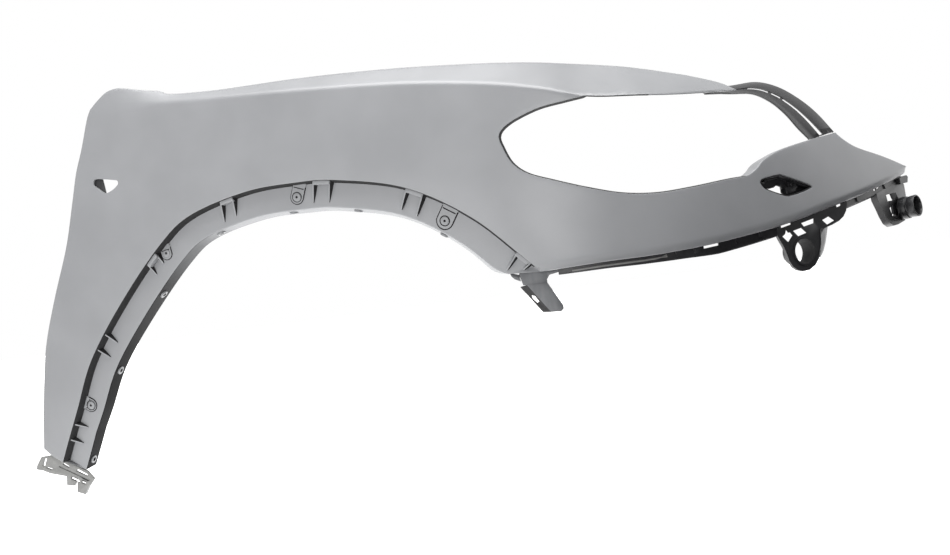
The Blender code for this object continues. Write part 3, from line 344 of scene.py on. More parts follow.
# The skin: one moulding with folds round its edge, laid on the body surface.
# Stretches of the edge in order; each fold is knots of reach on the sheet, depth, level reach and rise, with radii.
skin = {
    "wall": 0.0028, "edgeStep": 0.0055, "innerStep": 0.0075, "holeSteps": 12, "holeStep": 0.0028, "rowPitch": 0.866,
    # rows beside the crease: start, end and step along it, distances from it, and the room that points keep
    "creaseSpan": (-0.475, 0.40, 0.0055), "creaseRows": (-0.0070, -0.0035, 0.0, 0.0035, 0.0070),
    "creaseRoom": 0.0028, "edgeRoom": 0.6, "rowRoom": 0.0048,
    # depth of the wall round each opening, and the roundings down it
    "openings": {"washer": 0.0055, "indicator": 0.0035}, "openingRound": 0.0012, "wallRound": 0.0002,
    "mitre": 0.7, "tipShare": 0.12, "tipStart": 0.0001, "tipReach": 0.004, "browLift": 0.00001, "browProbe": 0.006,
    # rows of each fold given the dark compound as painted shade, from the first to the last, and the row from which
    # the return takes the primer with painted shade
    "shadedRows": {"arch": (4, 8, 13), "lamp": (3, 15, 99), "brow": (3, 15, 99)},
    "foot": [(0.002, 0.049), (0.011, 0.027), (0.023, 0.007)],
    "arch": [
        (0.023, 0.007), (0.053, 0.145), (0.081, 0.282), (0.126, 0.428), (0.178, 0.566), (0.215, 0.630),
        (0.276, 0.668), (0.327, 0.672), (0.370, 0.663), (0.438, 0.617), (0.498, 0.518), (0.550, 0.373),
    ],
    "low": [
        (0.550, 0.373), (0.609, 0.375), (0.656, 0.371), (0.706, 0.372), (0.734, 0.376), (0.791, 0.388),
        (0.858, 0.410), (0.999, 0.452),
    ],
    "nose": [(0.999, 0.452), (0.954, 0.495), (0.918, 0.528), (0.901, 0.554), (0.891, 0.579)],
    "strutSeat": [(0.891, 0.579), (0.849, 0.573)],
    "hump": [(0.849, 0.573), (0.824, 0.567), (0.803, 0.559), (0.784, 0.543), (0.774, 0.525), (0.762, 0.511)],
    "lamp": [
        (0.762, 0.511), (0.742, 0.511), (0.706, 0.507), (0.671, 0.507), (0.639, 0.520), (0.607, 0.548),
        (0.576, 0.581), (0.555, 0.606), (0.542, 0.638), (0.535, 0.682), (0.533, 0.708), (0.538, 0.727),
        (0.551, 0.745), (0.574, 0.763), (0.599, 0.770), (0.620, 0.775),
    ],
    "browFade": 0.680, "browTip": 0.779,
    "hoodTip": [(0.766, 0.779), (0.735, 0.834)],
    "hood": [
        (0.735, 0.834), (0.688, 0.889), (0.627, 0.932), (0.583, 0.939), (0.541, 0.944),
        (0.501, 0.949), (0.419, 0.962), (0.335, 0.970), (0.255, 0.966), (0.220, 0.970), (0.204, 0.971),
        (0.192, 0.974), (0.184, 0.984), (0.167, 0.989), (0.141, 1.001),
    ],
    "corner": [(0.141, 1.001), (0.134, 0.999), (0.127, 0.993), (0.121, 0.982), (0.113, 0.964), (0.108, 0.951)],
    "door": [
        (0.108, 0.951), (0.104, 0.928), (0.095, 0.850), (0.086, 0.785), (0.078, 0.703), (0.066, 0.590),
        (0.045, 0.455), (0.028, 0.337), (0.017, 0.221), (0.002, 0.049),
    ],
    "archTurns": (math.radians(-23), math.radians(-27)), "archTurnReach": 0.06,
    "washer": [
        (0.775, 0.490), (0.779, 0.497), (0.797, 0.500), (0.803, 0.496), (0.8325, 0.4585), (0.829, 0.4485),
        (0.808, 0.441), (0.799, 0.443), (0.781, 0.466), (0.776, 0.480),
    ],
    "indicator": [
        (0.1065, 0.758), (0.109, 0.762), (0.117, 0.759), (0.132, 0.751), (0.1345, 0.746), (0.134, 0.738),
        (0.128, 0.727), (0.121, 0.721), (0.117, 0.724), (0.1105, 0.738), (0.1065, 0.746),
    ],
}
# the rounding that ends most folds' corners, and the fold round a thin edge, as on the lamp side and the nose
tight = 0.001
thinFold = [(0, 0, 0, 0, 0.0018), (0.0007, 0.003, 0, 0, tight), (0.0013, 0.0055, 0, 0, tight), (0.0018, 0.008, 0, 0)]
folds = {
    "door": [(0, 0, 0, 0, 0.0022), (0.0010, 0.006, 0, 0, tight), (0.0018, 0.012, 0, 0, tight), (0.0018, 0.018, 0, 0)],
    "lamp": thinFold, "nose": thinFold,
    "hump": [(0, 0, 0, 0, 0.0030), (0.0009, 0.010, 0, 0, tight), (0.0018, 0.020, 0, 0, tight), (0.0018, 0.034, 0, 0)],
    "brow": [(0, 0, 0, 0, 0.0010), (0, 0.0018, 0, 0, 0.0008), (0, 0.0018, 0.004, 0, tight), (0, 0.0018, 0.008, 0)],
    "low": [(0, 0, 0, 0, 0.0040), (0.009, 0.005, 0, 0, 0.002), (0.010, 0.010, 0, 0, tight), (0.010, 0.016, 0, 0)],
    "leg": [
        (0, 0, 0, 0, 0.0010), (0.0045, 0.0150, 0, 0, 0.0014), (0.040, 0.0125, 0, 0, 0.0025), (0.040, 0.042, 0, 0),
    ],
    "arch": [
        (0, 0, 0, 0, 0.0010), (0.0045, 0.0150, 0, 0, 0.0014), (0.046, 0.0125, 0, 0, 0.0025), (0.058, 0.042, 0, 0),
    ],
    "bare": [(0, 0, 0, 0, 0.0008), (0, 0.0010, 0, 0, 0.0001), (0, 0.0014, 0, 0, 0.0001), (0, 0.0018, 0, 0)],
    "hood": [(0, 0, 0, 0, 0.0030), (0, 0.014, 0, 0, 0.002), (0, 0.014, 0.025, 0, 0.0015), (0, 0.014, 0.025, -0.005)],
}


def foldRows(knots):
    # the knots with their corners rounded, always the same number of rows
    path = [np.array((-knots[0][4], 0, 0, 0))] + [np.array(knot[:4], float) for knot in knots]
    rows = [path[0]]
    for i, knot in enumerate(knots[:-1]):
        before, here, after = path[i], path[i + 1], path[i + 2]
        back, ahead = before - here, after - here
        reach = min(knot[4], np.linalg.norm(ahead) / 2, np.linalg.norm(back) / (1 if i == 0 else 2))
        first = here + back / np.linalg.norm(back) * reach
        last = here + ahead / np.linalg.norm(ahead) * reach
        for t in (0.0, 0.25, 0.5, 0.75, 1.0)[1 if i == 0 else 0:]:
            rows.append(first * (1 - t) ** 2 + here * 2 * t * (1 - t) + last * t * t)
    rows.append(path[-1])
    return np.array(rows)


def evenly(curve, step):
    run = runLength(curve)
    places = np.linspace(0, run[-1], max(1, round(run[-1] / step)) + 1)
    return np.stack([np.interp(places, run, curve[:, k]) for k in range(curve.shape[1])], -1)


def archWay(points):
    # the way to the wheel along the arch, turned at both ends to follow the leg's foot and the nose
    share = runLength(points)
    towards = np.array(body["archCentre"]) - points
    angle = np.arctan2(towards[:, 1], towards[:, 0])
    startTurn, endTurn = skin["archTurns"]
    angle += startTurn * np.clip(1 - share / skin["archTurnReach"], 0, None)
    angle += endTurn * np.clip(1 - (share[-1] - share) / skin["archTurnReach"], 0, None)
    return np.stack([np.cos(angle), np.sin(angle)], -1)


def browLine(first, last):
    s = sheetPlace(np.linspace(first, last, 80))
    return np.stack([s, creaseAt(s) + skin["browLift"]], -1)


def skinEdge():
    brow = browLine(skin["lamp"][-1][0], skin["browFade"])
    tip = browLine(skin["browFade"], skin["browTip"])
    hoodTip = splineThrough(np.vstack([tip[-1], onSheet(skin["hoodTip"])]), 40)
    hood = sheetCurve(skin["hood"])
    ledge = len(hood) // (len(skin["hood"]) - 1)
    stretches = [
        ("foot", sheetCurve(skin["foot"]), "door", "door"), ("arch", sheetCurve(skin["arch"]), "leg", "arch"),
        ("low", sheetCurve(skin["low"]), "low", "low"), ("nose", sheetCurve(skin["nose"]), "nose", "nose"),
        ("seat", sheetCurve(skin["strutSeat"]), "bare", "bare"), ("hump", sheetCurve(skin["hump"]), "hump", "hump"),
        ("lamp", sheetCurve(skin["lamp"]), "lamp", "lamp"), ("brow", brow, "brow", "brow"),
        ("tip", tip, "brow", "bare"), ("hoodTip", hoodTip, "bare", "bare"),
        ("ledgeIn", hood[:ledge + 1], "bare", "hood"), ("hood", hood[ledge:], "hood", "hood"),
        ("corner", sheetCurve(skin["corner"]), "hood", "door"), ("door", sheetCurve(skin["door"]), "door", "door"),
    ]
    points, rows, names, ways = [], [], [], []
    for name, curve, first, last in stretches:
        line = evenly(curve, skin["edgeStep"])
        share = (np.arange(len(line) - 1) / (len(line) - 1))[:, None, None]
        points.append(line[:-1])
        rows.append(foldRows(folds[first]) * (1 - share) + foldRows(folds[last]) * share)
        names += [name] * (len(line) - 1)
        if name == "arch":
            ways.append(archWay(line)[:-1])
            archEnd = archWay(line)[-1]
        else:
            ways.append(np.full((len(line) - 1, 2), np.nan))
    points, rows, ways = np.vstack(points), np.vstack(rows), np.vstack(ways)
    first, last = points - np.roll(points, 1, 0), np.roll(points, -1, 0) - points
    first, last = unit(first), unit(last)
    mean = unit(first + last)
    normal = np.stack([mean[:, 1], -mean[:, 0]], -1)
    normal /= np.maximum(skin["mitre"], np.sum(normal * np.stack([last[:, 1], -last[:, 0]], -1), 1))[:, None]
    ways = np.where(np.isnan(ways), normal, ways)
    end = names.index("low")
    ways[end], rows[end] = archEnd, foldRows(folds["arch"])
    # at the sharp nose tip the rounding shrinks, so that the two folds don't cross
    away = np.linalg.norm(points - points[names.index("nose")], axis=1)
    back = np.clip((away * skin["tipShare"] + skin["tipStart"]) / skin["tipReach"], 0, 1)
    rows[..., 0] = np.where(rows[..., 0] < 0, rows[..., 0] * back[:, None], rows[..., 0])
    return points, rows, ways, names


def inside(loop, points):
    a, b = loop, np.roll(loop, -1, 0)
    hits = np.zeros(len(points), int)
    for (ax, ay), (bx, by) in zip(a, b):
        if ay != by:
            crosses = (ay > points[:, 1]) != (by > points[:, 1])
            hits += crosses & (points[:, 0] < (bx - ax) * (points[:, 1] - ay) / (by - ay) + ax)
    return hits % 2 == 1


def loopWays(points):
    first, last = points - np.roll(points, 1, 0), np.roll(points, -1, 0) - points
    mean = unit(unit(first) + unit(last))
    return np.stack([mean[:, 1], -mean[:, 0]], -1)


def openingEdge(name):
    line = splineThrough(onSheet(skin[name] + skin[name][:1]), skin["holeSteps"])
    return evenly(line, skin["holeStep"])[:-1]


def edgeLoops():
    points, rows, ways, names = skinEdge()
    loops = [(points, rows, ways, np.array([name in ("brow", "tip") for name in names]))]
    # the openings run the other way round, so that their ways point into the hole
    for name, depth in skin["openings"].items():
        hole = openingEdge(name)
        after = np.roll(hole, -1, 0)
        if np.sum(hole[:, 0] * after[:, 1] - after[:, 0] * hole[:, 1]) > 0:
            hole = hole[::-1]
        knots = [(0, at, 0, 0, skin["wallRound"]) for at in (depth / 3, depth * 2 / 3)]
        profile = foldRows([(0, 0, 0, 0, skin["openingRound"])] + knots + [(0, depth, 0, 0)])
        loops.append((hole, np.repeat(profile[None], len(hole), 0), loopWays(hole), np.zeros(len(hole), bool)))
    return loops, names


def onMaterial(rings, spots):
    keep = inside(rings[0], spots)
    for hole in rings[1:]:
        keep &= ~inside(hole, spots)
    return keep


def treeOf(spots):
    tree = kdtree.KDTree(len(spots))
    for i, (s, v) in enumerate(spots):
        tree.insert((s, v, 0), i)
    tree.balance()
    return tree


def awayFrom(tree, spots, room):
    return [spot for spot in spots if tree.find((*spot, 0))[2] > room]


def spreadPoints(points, rings, flat):
    # rows of points that follow the crease, then an even spread over the rest
    span = np.arange(*skin["creaseSpan"])
    extra = np.vstack([np.stack([span, creaseAt(span) + offset], -1) for offset in skin["creaseRows"]])
    step = skin["innerStep"]
    pitch = step * skin["rowPitch"]
    low, high = points.min(0), points.max(0)
    grid = []
    for row in range(int((high[1] - low[1]) / pitch) + 1):
        s = np.arange(low[0], high[0], step) + step / 2 * (row % 2)
        grid.append(np.stack([s, np.full_like(s, low[1] + pitch * (row + 0.5))], -1))
    grid, edgeTree = np.vstack(grid), treeOf(flat)
    near = awayFrom(edgeTree, extra[onMaterial(rings, extra)], skin["creaseRoom"])
    rest = awayFrom(edgeTree, grid[onMaterial(rings, grid)], step * skin["edgeRoom"])
    return near + awayFrom(treeOf(near), rest, skin["rowRoom"])


def foldLine(edge, ways, brow, row):
    # one row of the fold; under the brow it hangs from the shoulder's own slope
    reach, depth, ledge, rise = row.T
    spots = edge + ways * reach[:, None]
    lifted = surface(spots[:, 0], np.where(brow, spots[:, 1] + skin["browProbe"], spots[:, 1]))[1]
    line = surface(spots[:, 0], spots[:, 1])[0] + lifted * depth[:, None]
    line[:, :2] += plan(spots[:, 0])[1] * ledge[:, None]
    line[:, 2] += rise
    return line


def skinMesh():
    loops, names = edgeLoops()
    flat, edges, starts = [], [], []
    for edge, rows, ways, _ in loops:
        start = len(flat)
        starts.append(start)
        flat += [Vector(p) for p in edge + ways * rows[:, 0, :1]]
        edges += [(start + i, start + (i + 1) % len(edge)) for i in range(len(edge))]
    rings = [np.array(flat[a:b]) for a, b in zip(starts, starts[1:] + [len(flat)])]
    flat += [Vector(spot) for spot in spreadPoints(loops[0][0], rings, flat)]
    verts, _, faces, sources, _, _ = delaunay_2d_cdt(flat, edges, [], 2, 1e-7)
    where = np.array([(v[0], v[1]) for v in verts])
    spot = {old: i for i, source in enumerate(sources) for old in source}
    good = onMaterial(rings, np.array([where[list(face)].mean(0) for face in faces]))
    coords = list(place(where[:, 0], where[:, 1]))
    quads = [tuple(face) for face, ok in zip(faces, good) if ok]
    bare = [0] * len(quads)
    never = (99, 99, 99)
    shadedRows = [skin["shadedRows"].get(name, never) for name in names]
    for (edge, rows, ways, brow), start in zip(loops, starts):
        count = len(edge)
        ring = [spot[start + i] for i in range(count)]
        for k in range(1, rows.shape[1]):
            new = list(range(len(coords), len(coords) + count))
            coords += list(foldLine(edge, ways, brow, rows[:, k]))
            # rows listed in shadedRows take the dark compound as painted shade; from the third number on, the return
            # takes the primer with painted shade
            for first, last, returnShadeFrom in ([never] * count if start else shadedRows):
                bare.append(1 if first <= k <= last else 2 if k >= returnShadeFrom else 0)
            quads += [(ring[(i + 1) % count], ring[i], new[i], new[(i + 1) % count]) for i in range(count)]
            ring = new
    mesh = bpy.data.meshes.new("painted_skin")
    mesh.from_pydata([tuple(c) for c in coords], [], quads)
    mesh.polygons.foreach_set("material_index", np.array(bare, np.int32))
    mesh.validate()
    mesh.update()
    return mesh


def looseTidy(mesh):
    bm = bmesh.new()
    bm.from_mesh(mesh)
    bmesh.ops.delete(bm, geom=[v for v in bm.verts if not v.link_faces], context="VERTS")
    bm.to_mesh(mesh)
    bm.free()


def addObject(name, mesh, finish):
    item = bpy.data.objects.new(name, mesh)
    bpy.context.scene.collection.objects.link(item)
    if len(mesh.materials):
        mesh.materials.clear()
    mesh.materials.append(finish)
    return item


def useOnly(item):
    bpy.ops.object.select_all(action="DESELECT")
    item.select_set(True)
    bpy.context.view_layer.objects.active = item


def applyModifier(item, name, kind, **settings):
    useOnly(item)
    modifier = item.modifiers.new(name, kind)
    for key, value in settings.items():
        setattr(modifier, key, value)
    bpy.ops.object.modifier_apply(modifier=name)


def roundEdges(item, width, angle):
    limit = math.radians(angle)
    applyModifier(item, "round", "BEVEL", width=width, segments=2, limit_method="ANGLE", angle_limit=limit)


skinData = skinMesh()
looseTidy(skinData)
skinPiece = addObject("painted_skin", skinData, primer)
skinData.materials.append(paintedShadeCompound)
skinData.materials.append(returnShadePrimer)
applyModifier(skinPiece, "wall", "SOLIDIFY", thickness=skin["wall"], offset=-1.0, use_even_offset=False)
print("skin laid:", len(skinPiece.data.polygons), "faces")

# What is moulded on the arch band: tapered ribs in pairs with a shelf, grooved pads with a boss, and collared holes.
band = {
    # place along the arch, turn from the way to the wheel in degrees, length, height at the far end
    "ribs": [
        (0.038, 12, 0.021, 0.0012), (0.064, 12, 0.021, 0.0012), (0.188, 15, 0.023, 0.0012),
        (0.215, 15, 0.023, 0.0012), (0.343, 13, 0.021, 0.0006), (0.364, 13, 0.020, 0.0006),
        (0.497, 20, 0.034, 0.0006), (0.517, 18, 0.031, 0.0006), (0.646, 10, 0.036, 0.0006),
        (0.671, 8, 0.036, 0.0006), (0.787, 2, 0.036, 0.0050), (0.812, 0, 0.038, 0.0050),
        (0.969, -20, 0.034, 0.0050), (0.992, -20, 0.017, 0.0050),
    ],
    "ribHalf": 0.0046, "ribEnd": 0.0017, "crown": 0.0011, "ribRise": 0.0105, "ribStart": 0.0005, "ribRoot": 0.0012,
    # power of the ribs' taper, most of the crown in the half width, and the shares left at the end of a raised rib
    "ribTaper": 1.3, "crownShare": 0.45, "raised": 0.002, "raisedHalf": 0.6, "raisedHeight": 0.45,
    "shelves": [(0.343, 0.364), (0.497, 0.517), (0.646, 0.671), (0.787, 0.812), (0.969, 0.992)],
    "shelfReach": 0.0072, "shelfDepth": 0.0030, "shelfStart": 0.0008, "shelfSlope": 0.001, "shelfRoot": 0.0150,
    # place, turn, width, length, reach of the boss
    "pads": [
        (0.101, 15, 0.022, 0.026, 0.0155), (0.380, 24, 0.019, 0.026, 0.0150), (0.622, 20, 0.022, 0.036, 0.0245),
        (0.855, 0, 0.027, 0.041, 0.0275),
    ],
    "padRise": 0.0010, "padStart": 0.0006, "padRoot": 0.0028, "padSides": 14,
    # grooves: width as a share of the pad, depth, start, distance from the edge, and the ring on the wider pads
    "groove": 0.070, "grooveDepth": 0.0024, "grooveTop": 0.003, "grooveStart": 0.0065, "barStart": 0.0100,
    "barInset": 0.0022, "ringedPad": 0.02, "ringOut": 0.0012, "ringShare": 0.8,
    "boss": 0.0066, "bossShare": 0.32, "bossRise": 0.0008, "bossRoot": 0.001,
    "dimple": 0.0020, "dimpleTop": 0.004, "dimpleDepth": 0.0006, "stepRise": 0.0025, "stepRun": 0.040,
    "collars": [0.012, 0.163, 0.316, 0.465, 0.598, 0.710, 0.860],
    "collar": 0.0068, "collarHole": 0.0036, "collarRise": 0.0020, "collarRoot": 0.0014, "collarDepth": 0.027,
    "holeReach": 0.010,
    "depth": 0.0125, "legWidth": 0.040, "width": 0.046, "lean": 0.012, "returnDepth": 0.042,
}
archLine = sheetCurve(skin["arch"])
archRun = runLength(archLine)
archWays = archWay(archLine)


def archFrame(share):
    at = archRun[-1] * share
    edge = np.array([np.interp(at, archRun, archLine[:, k]) for k in range(2)])
    way = np.array([np.interp(at, archRun, archWays[:, k]) for k in range(2)])
    way /= np.linalg.norm(way)
    return edge, way, np.array((-way[1], way[0]))


def archPlace(share, spots, turn=0):
    # spots are reach to the wheel, side along the arch, and depth
    edge, way, along = archFrame(share)
    c, n = math.cos(math.radians(-turn)), math.sin(math.radians(-turn))
    way, along = way * c + along * n, along * c - way * n
    spots = np.array(spots, float)
    flat = edge + way * spots[:, :1] + along * spots[:, 1:2]
    return place(flat[:, 0], flat[:, 1], spots[:, 2])


def sweepMesh(bm, rings, bare=-1):
    rows = [[bm.verts.new(p) for p in ring] for ring in rings]
    count = len(rows[0])
    for first, second in zip(rows, rows[1:]):
        for i in range(count):
            face = bm.faces.new((first[i], first[(i + 1) % count], second[(i + 1) % count], second[i]))
            # the face at index bare takes slot 1, the dark compound used as painted shade
            face.material_index = 1 if i == bare else 0
    bm.faces.new(rows[0][::-1])
    bm.faces.new(rows[-1])


def circle(radius, sides, centre=(0.0, 0.0)):
    return [(centre[0] + radius * math.cos(2 * math.pi * i / sides),
             centre[1] + radius * math.sin(2 * math.pi * i / sides)) for i in range(sides)]


def finishTool(name, bm, bevel=0.0, finish=0):
    bmesh.ops.recalc_face_normals(bm, faces=bm.faces)
    if finish:
        for face in bm.faces:
            face.material_index = finish
    mesh = bpy.data.meshes.new(name)
    bm.to_mesh(mesh)
    bm.free()
    tool = addObject(name, mesh, primer)
    mesh.materials.append(paintedShadeCompound)
    if bevel:
        roundEdges(tool, bevel, angle=35)
    return tool


def combine(target, tool, operation):
    applyModifier(target, "combine", "BOOLEAN", object=tool, operation=operation, solver="MANIFOLD")
    bpy.data.objects.remove(tool, do_unlink=True)


def returnReach(share, depth):
    width = band["legWidth"] + (band["width"] - band["legWidth"]) * share
    return width + band["lean"] * share * (depth - band["depth"]) / (band["returnDepth"] - band["depth"])


def bandDepth(reach):
    # the band rises a little from the foot of the step to its corner
    return band["depth"] + band["stepRise"] * max(0.0, 1 - reach / band["stepRun"])


def addRibs(bm):
    for share, turn, length, end in band["ribs"]:
        rings = []
        for t in np.linspace(0, 1, 7):
            reach = band["ribStart"] + length * t
            half = band["ribHalf"] + (band["ribEnd"] - band["ribHalf"]) * t ** band["ribTaper"]
            crown = min(band["crown"], half * band["crownShare"])
            height = band["ribRise"] + (end - band["ribRise"]) * t
            if end > band["raised"] and t == 1:
                half, height = half * band["raisedHalf"], end * band["raisedHeight"]
            under, top = bandDepth(reach) + band["ribRoot"], bandDepth(reach) - height
            spots = [(reach, -half, under), (reach, half, under), (reach, crown, top), (reach, -crown, top)]
            rings.append(archPlace(share, spots, turn))
        # painted shade: the ribs' lee sides take the dark compound
        sweepMesh(bm, rings, 1)


def addShelves(bm):
    start, far, top, root = (band[key] for key in ("shelfStart", "shelfReach", "shelfDepth", "shelfRoot"))
    outline = [(start, 0, top), (far, 0, top), (far + band["shelfSlope"], 0, root), (start, 0, root)]
    for first, last in band["shelves"]:
        sweepMesh(bm, [archPlace(share, outline) for share in np.linspace(first, last, 5)])


def addDisc(bm, share, outline, depthOut, depthIn, turn=0):
    sweepMesh(bm, [archPlace(share, [(r, a, depth) for r, a in outline], turn) for depth in (depthIn, depthOut)])


def addGroove(bm, share, path, turn, wide, closed=False):
    # a thin channel along a path of reach and side
    path, half, rings = np.array(path), wide / 2, []
    above, below = -band["grooveTop"], band["grooveDepth"]
    for i, here in enumerate(path):
        before = path[i - 1] if i or closed else here
        after = path[(i + 1) % len(path)] if i + 1 < len(path) or closed else here
        way = (after - before) / np.linalg.norm(after - before)
        side = np.array((-way[1], way[0])) * half
        level = bandDepth(here[0]) - band["padRise"]
        corners = ((-1, above), (1, above), (1, below), (-1, below))
        spots = [(*(here + k * side), level + d) for k, d in corners]
        rings.append([bm.verts.new(p) for p in archPlace(share, spots, turn)])
    pairs = list(zip(rings, rings[1:])) + ([(rings[-1], rings[0])] if closed else [])
    for first, second in pairs:
        for k in range(4):
            bm.faces.new((first[k], first[(k + 1) % 4], second[(k + 1) % 4], second[k]))
    if not closed:
        bm.faces.new(rings[0][::-1])
        bm.faces.new(rings[-1])


def addCollars(bm, radius, inner, outer, sides):
    for share in band["collars"]:
        reach = returnReach(share, band["collarDepth"])
        rings = []
        for at in (reach + inner, reach + outer):
            rings.append(archPlace(share, [(at, x, band["collarDepth"] + y) for x, y in circle(radius, sides)]))
        sweepMesh(bm, rings)


def padLine(width, length, start):
    half, sides = width / 2, band["padSides"]
    turns = [math.pi * i / sides for i in range(sides + 1)]
    arc = [(length - half + half * math.sin(turn), half * math.cos(turn)) for turn in turns]
    return [(start, half)] + arc + [(start, -half)]


def addPads(bm):
    for share, turn, width, length, _ in band["pads"]:
        level = bandDepth(length / 2) - band["padRise"]
        addDisc(bm, share, padLine(width, length, band["padStart"]), level, level + band["padRoot"], turn)


def addBosses(bm):
    for share, turn, width, _, reach in band["pads"]:
        top = bandDepth(reach) - band["padRise"]
        ring = circle(min(band["boss"], width * band["bossShare"]), 28, (reach, 0))
        addDisc(bm, share, ring, top - band["bossRise"], top + band["bossRoot"], turn)


def addCollarRings(bm):
    addCollars(bm, band["collar"], -band["collarRoot"], band["collarRise"], 28)


def addCuts(bm):
    for share, turn, width, length, reach in band["pads"]:
        top = bandDepth(reach) - band["padRise"]
        ring = circle(band["dimple"], 20, (reach, 0))
        addDisc(bm, share, ring, top - band["dimpleTop"], top + band["dimpleDepth"], turn)
        wide = band["groove"] * width
        addGroove(bm, share, padLine(width, length, band["grooveStart"]), turn, wide)
        inner, bar = width / 2 - band["barInset"], band["barStart"]
        addGroove(bm, share, [(bar, -inner), (bar, 0), (bar, inner)], turn, wide)
        if width > band["ringedPad"]:
            ring = circle(band["boss"] + band["ringOut"], 28, (reach, 0))
            addGroove(bm, share, ring, turn, wide * band["ringShare"], True)
    addCollars(bm, band["collarHole"], -band["holeReach"], band["holeReach"], 20)


def dressSkin(operation, name, addTo, bevel=0.0, finish=0):
    bm = bmesh.new()
    addTo(bm)
    combine(skinPiece, finishTool(name, bm, bevel, finish), operation)


bandBevels = {addPads: 0.0005, addShelves: 0.0006, addRibs: 0.0005, addBosses: 0.0003, addCollarRings: 0.0003}
for addTo, bevel in bandBevels.items():
    dressSkin("UNION", addTo.__name__, addTo, bevel)
# the cut dimples, grooves and collar holes are lined with the dark compound as painted shade in the hollows
dressSkin("DIFFERENCE", "cuts", addCuts, finish=1)
print("arch band dressed")

# The bolt pads under the hood ledge.
boltPads = {
    "places": [0.255, 0.400, 0.560], "length": 0.044, "width": 0.020, "thick": 0.0050, "hole": 0.0035, "round": 0.001,
    # depth and level reach of the ledge's middle, and how far the pad stands into the ledge
    "depth": 0.014, "ledge": 0.0125, "seat": 0.0014, "cut": (-0.01, 0.02),
}


def boltSweep(outline, rises):
    def addTo(bm):
        hood = sheetCurve(skin["hood"])[::-1]
        for share in boltPads["places"]:
            s = sheetPlace(share)
            v = np.interp(s, hood[:, 0], hood[:, 1])
            middle = Vector(place(s, v, boltPads["depth"], boltPads["ledge"]))
            middle -= Vector((0, 0, boltPads["seat"] + boltPads["thick"]))
            sweepMesh(bm, [[middle + Vector((x, y, z)) for x, y in outline] for z in rises])
    return addTo


half, side = boltPads["length"] / 2, boltPads["width"] / 2
padCorners = [(-half, -side), (half, -side), (half, side), (-half, side)]
dressSkin("UNION", "bolt_pads", boltSweep(padCorners, (0, boltPads["thick"])), boltPads["round"])
dressSkin("DIFFERENCE", "bolt_holes", boltSweep(circle(boltPads["hole"], 24), boltPads["cut"]))
useOnly(skinPiece)
bpy.ops.object.shade_smooth_by_angle(angle=math.radians(32))
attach(skinPiece, "root")
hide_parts("outer_panel")
print("skin done:", len(skinPiece.data.polygons), "faces")


# The studio: a white floor, a white sky, soft boxes and black flags.
studio = {
    "azimuth": 20, "elevation": 4, "roll": 9, "distance": 3.2, "focalPixels": 2080, "target": (0, 0, 0.47),
    "targetPixel": (340, 181), "pictureWidth": 950, "pictureMiddle": (475, 277.5), "sensor": 36,
    "floorDrop": 0.80, "floorSize": 24, "middle": (0.13, 0.1, -0.2),
    # bearing from square on, rise, distance, width, height and the brightness of the face
    "boxes": [
        ("left strip box", -12, 3, 4.6, 1.0, 0.8, 8.4), ("right strip box", 15, 9, 4.6, 1.0, 0.8, 15.0),
        ("nose soft box", 122, 8, 4.0, 3.2, 3.2, 1.05), ("top soft box", 10, 82, 3.2, 3.0, 3.0, 8.6),
    ],
    # bearing, rise, distance and size; they take light off what faces the nose and the ground
    "flags": [(62, 6, 2.2, 3.2), (77, -52, 0.70, 0.75), (112, -24, 1.13, 0.62)],
}


def offAxis(pixel):
    middle, focal = studio["pictureMiddle"], studio["focalPixels"]
    return (pixel[0] - middle[0]) / focal, (middle[1] - pixel[1]) / focal


def cameraFrame():
    a, e, r = (math.radians(studio[key]) for key in ("azimuth", "elevation", "roll"))
    back = Vector((math.sin(a) * math.cos(e), -math.cos(a) * math.cos(e), math.sin(e)))
    level = Vector((math.cos(a), math.sin(a), 0))
    raised = back.cross(level)
    right = level * math.cos(r) - raised * math.sin(r)
    up = level * math.sin(r) + raised * math.cos(r)
    dx, dy = offAxis(studio["targetPixel"])
    spot = Vector(studio["target"]) + (back - right * dx - up * dy) * studio["distance"] - Vector(zero)
    return spot, right, up, back


def onPicture(spots, anchor, facing):
    # where what is seen at these pixels meets the plane through the anchor
    spot, right, up, back = cameraFrame()
    rays = [right * dx + up * dy - back for dx, dy in map(offAxis, spots)]
    return [spot + ray * ((anchor - spot).dot(facing) / ray.dot(facing)) for ray in rays]


def seen(spots, corner, scale):
    # spots read on an enlarged view of the picture, with its corner and its scale
    return [(corner[0] + x / scale, corner[1] + y / scale) for x, y in spots]


def frameOn(share, depth):
    point, inward = surface(*onSheet(share))
    return Vector(point + inward * depth), Vector(-inward)


def editAll(*steps):
    # mesh operators in edit mode, each on all that there is
    bpy.ops.object.mode_set(mode="EDIT")
    for operator, settings in steps:
        bpy.ops.mesh.select_all(action="SELECT")
        operator(**settings)
    bpy.ops.object.mode_set(mode="OBJECT")


def startMesh(name, addMesh, corners, **settings):
    bpy.ops.object.select_all(action="DESELECT")
    addMesh(**settings)
    item = bpy.context.active_object
    item.name = item.data.name = name
    for vertex, corner in zip(item.data.vertices, corners):
        vertex.co = corner
    return item


mergeGap = 0.00002
outwards = (bpy.ops.mesh.normals_make_consistent, {"inside": False})


def makePlate(name, corners, through, finish):
    circleSettings = {"vertices": len(corners), "fill_type": "NGON", "radius": 0.01, "location": (0, 0, 0)}
    item = startMesh(name, bpy.ops.mesh.primitive_circle_add, corners, **circleSettings)
    extrude = {"TRANSFORM_OT_translate": {"value": tuple(through)}}
    editAll((bpy.ops.mesh.extrude_region_move, extrude), outwards)
    item.data.materials.append(finish)
    return item


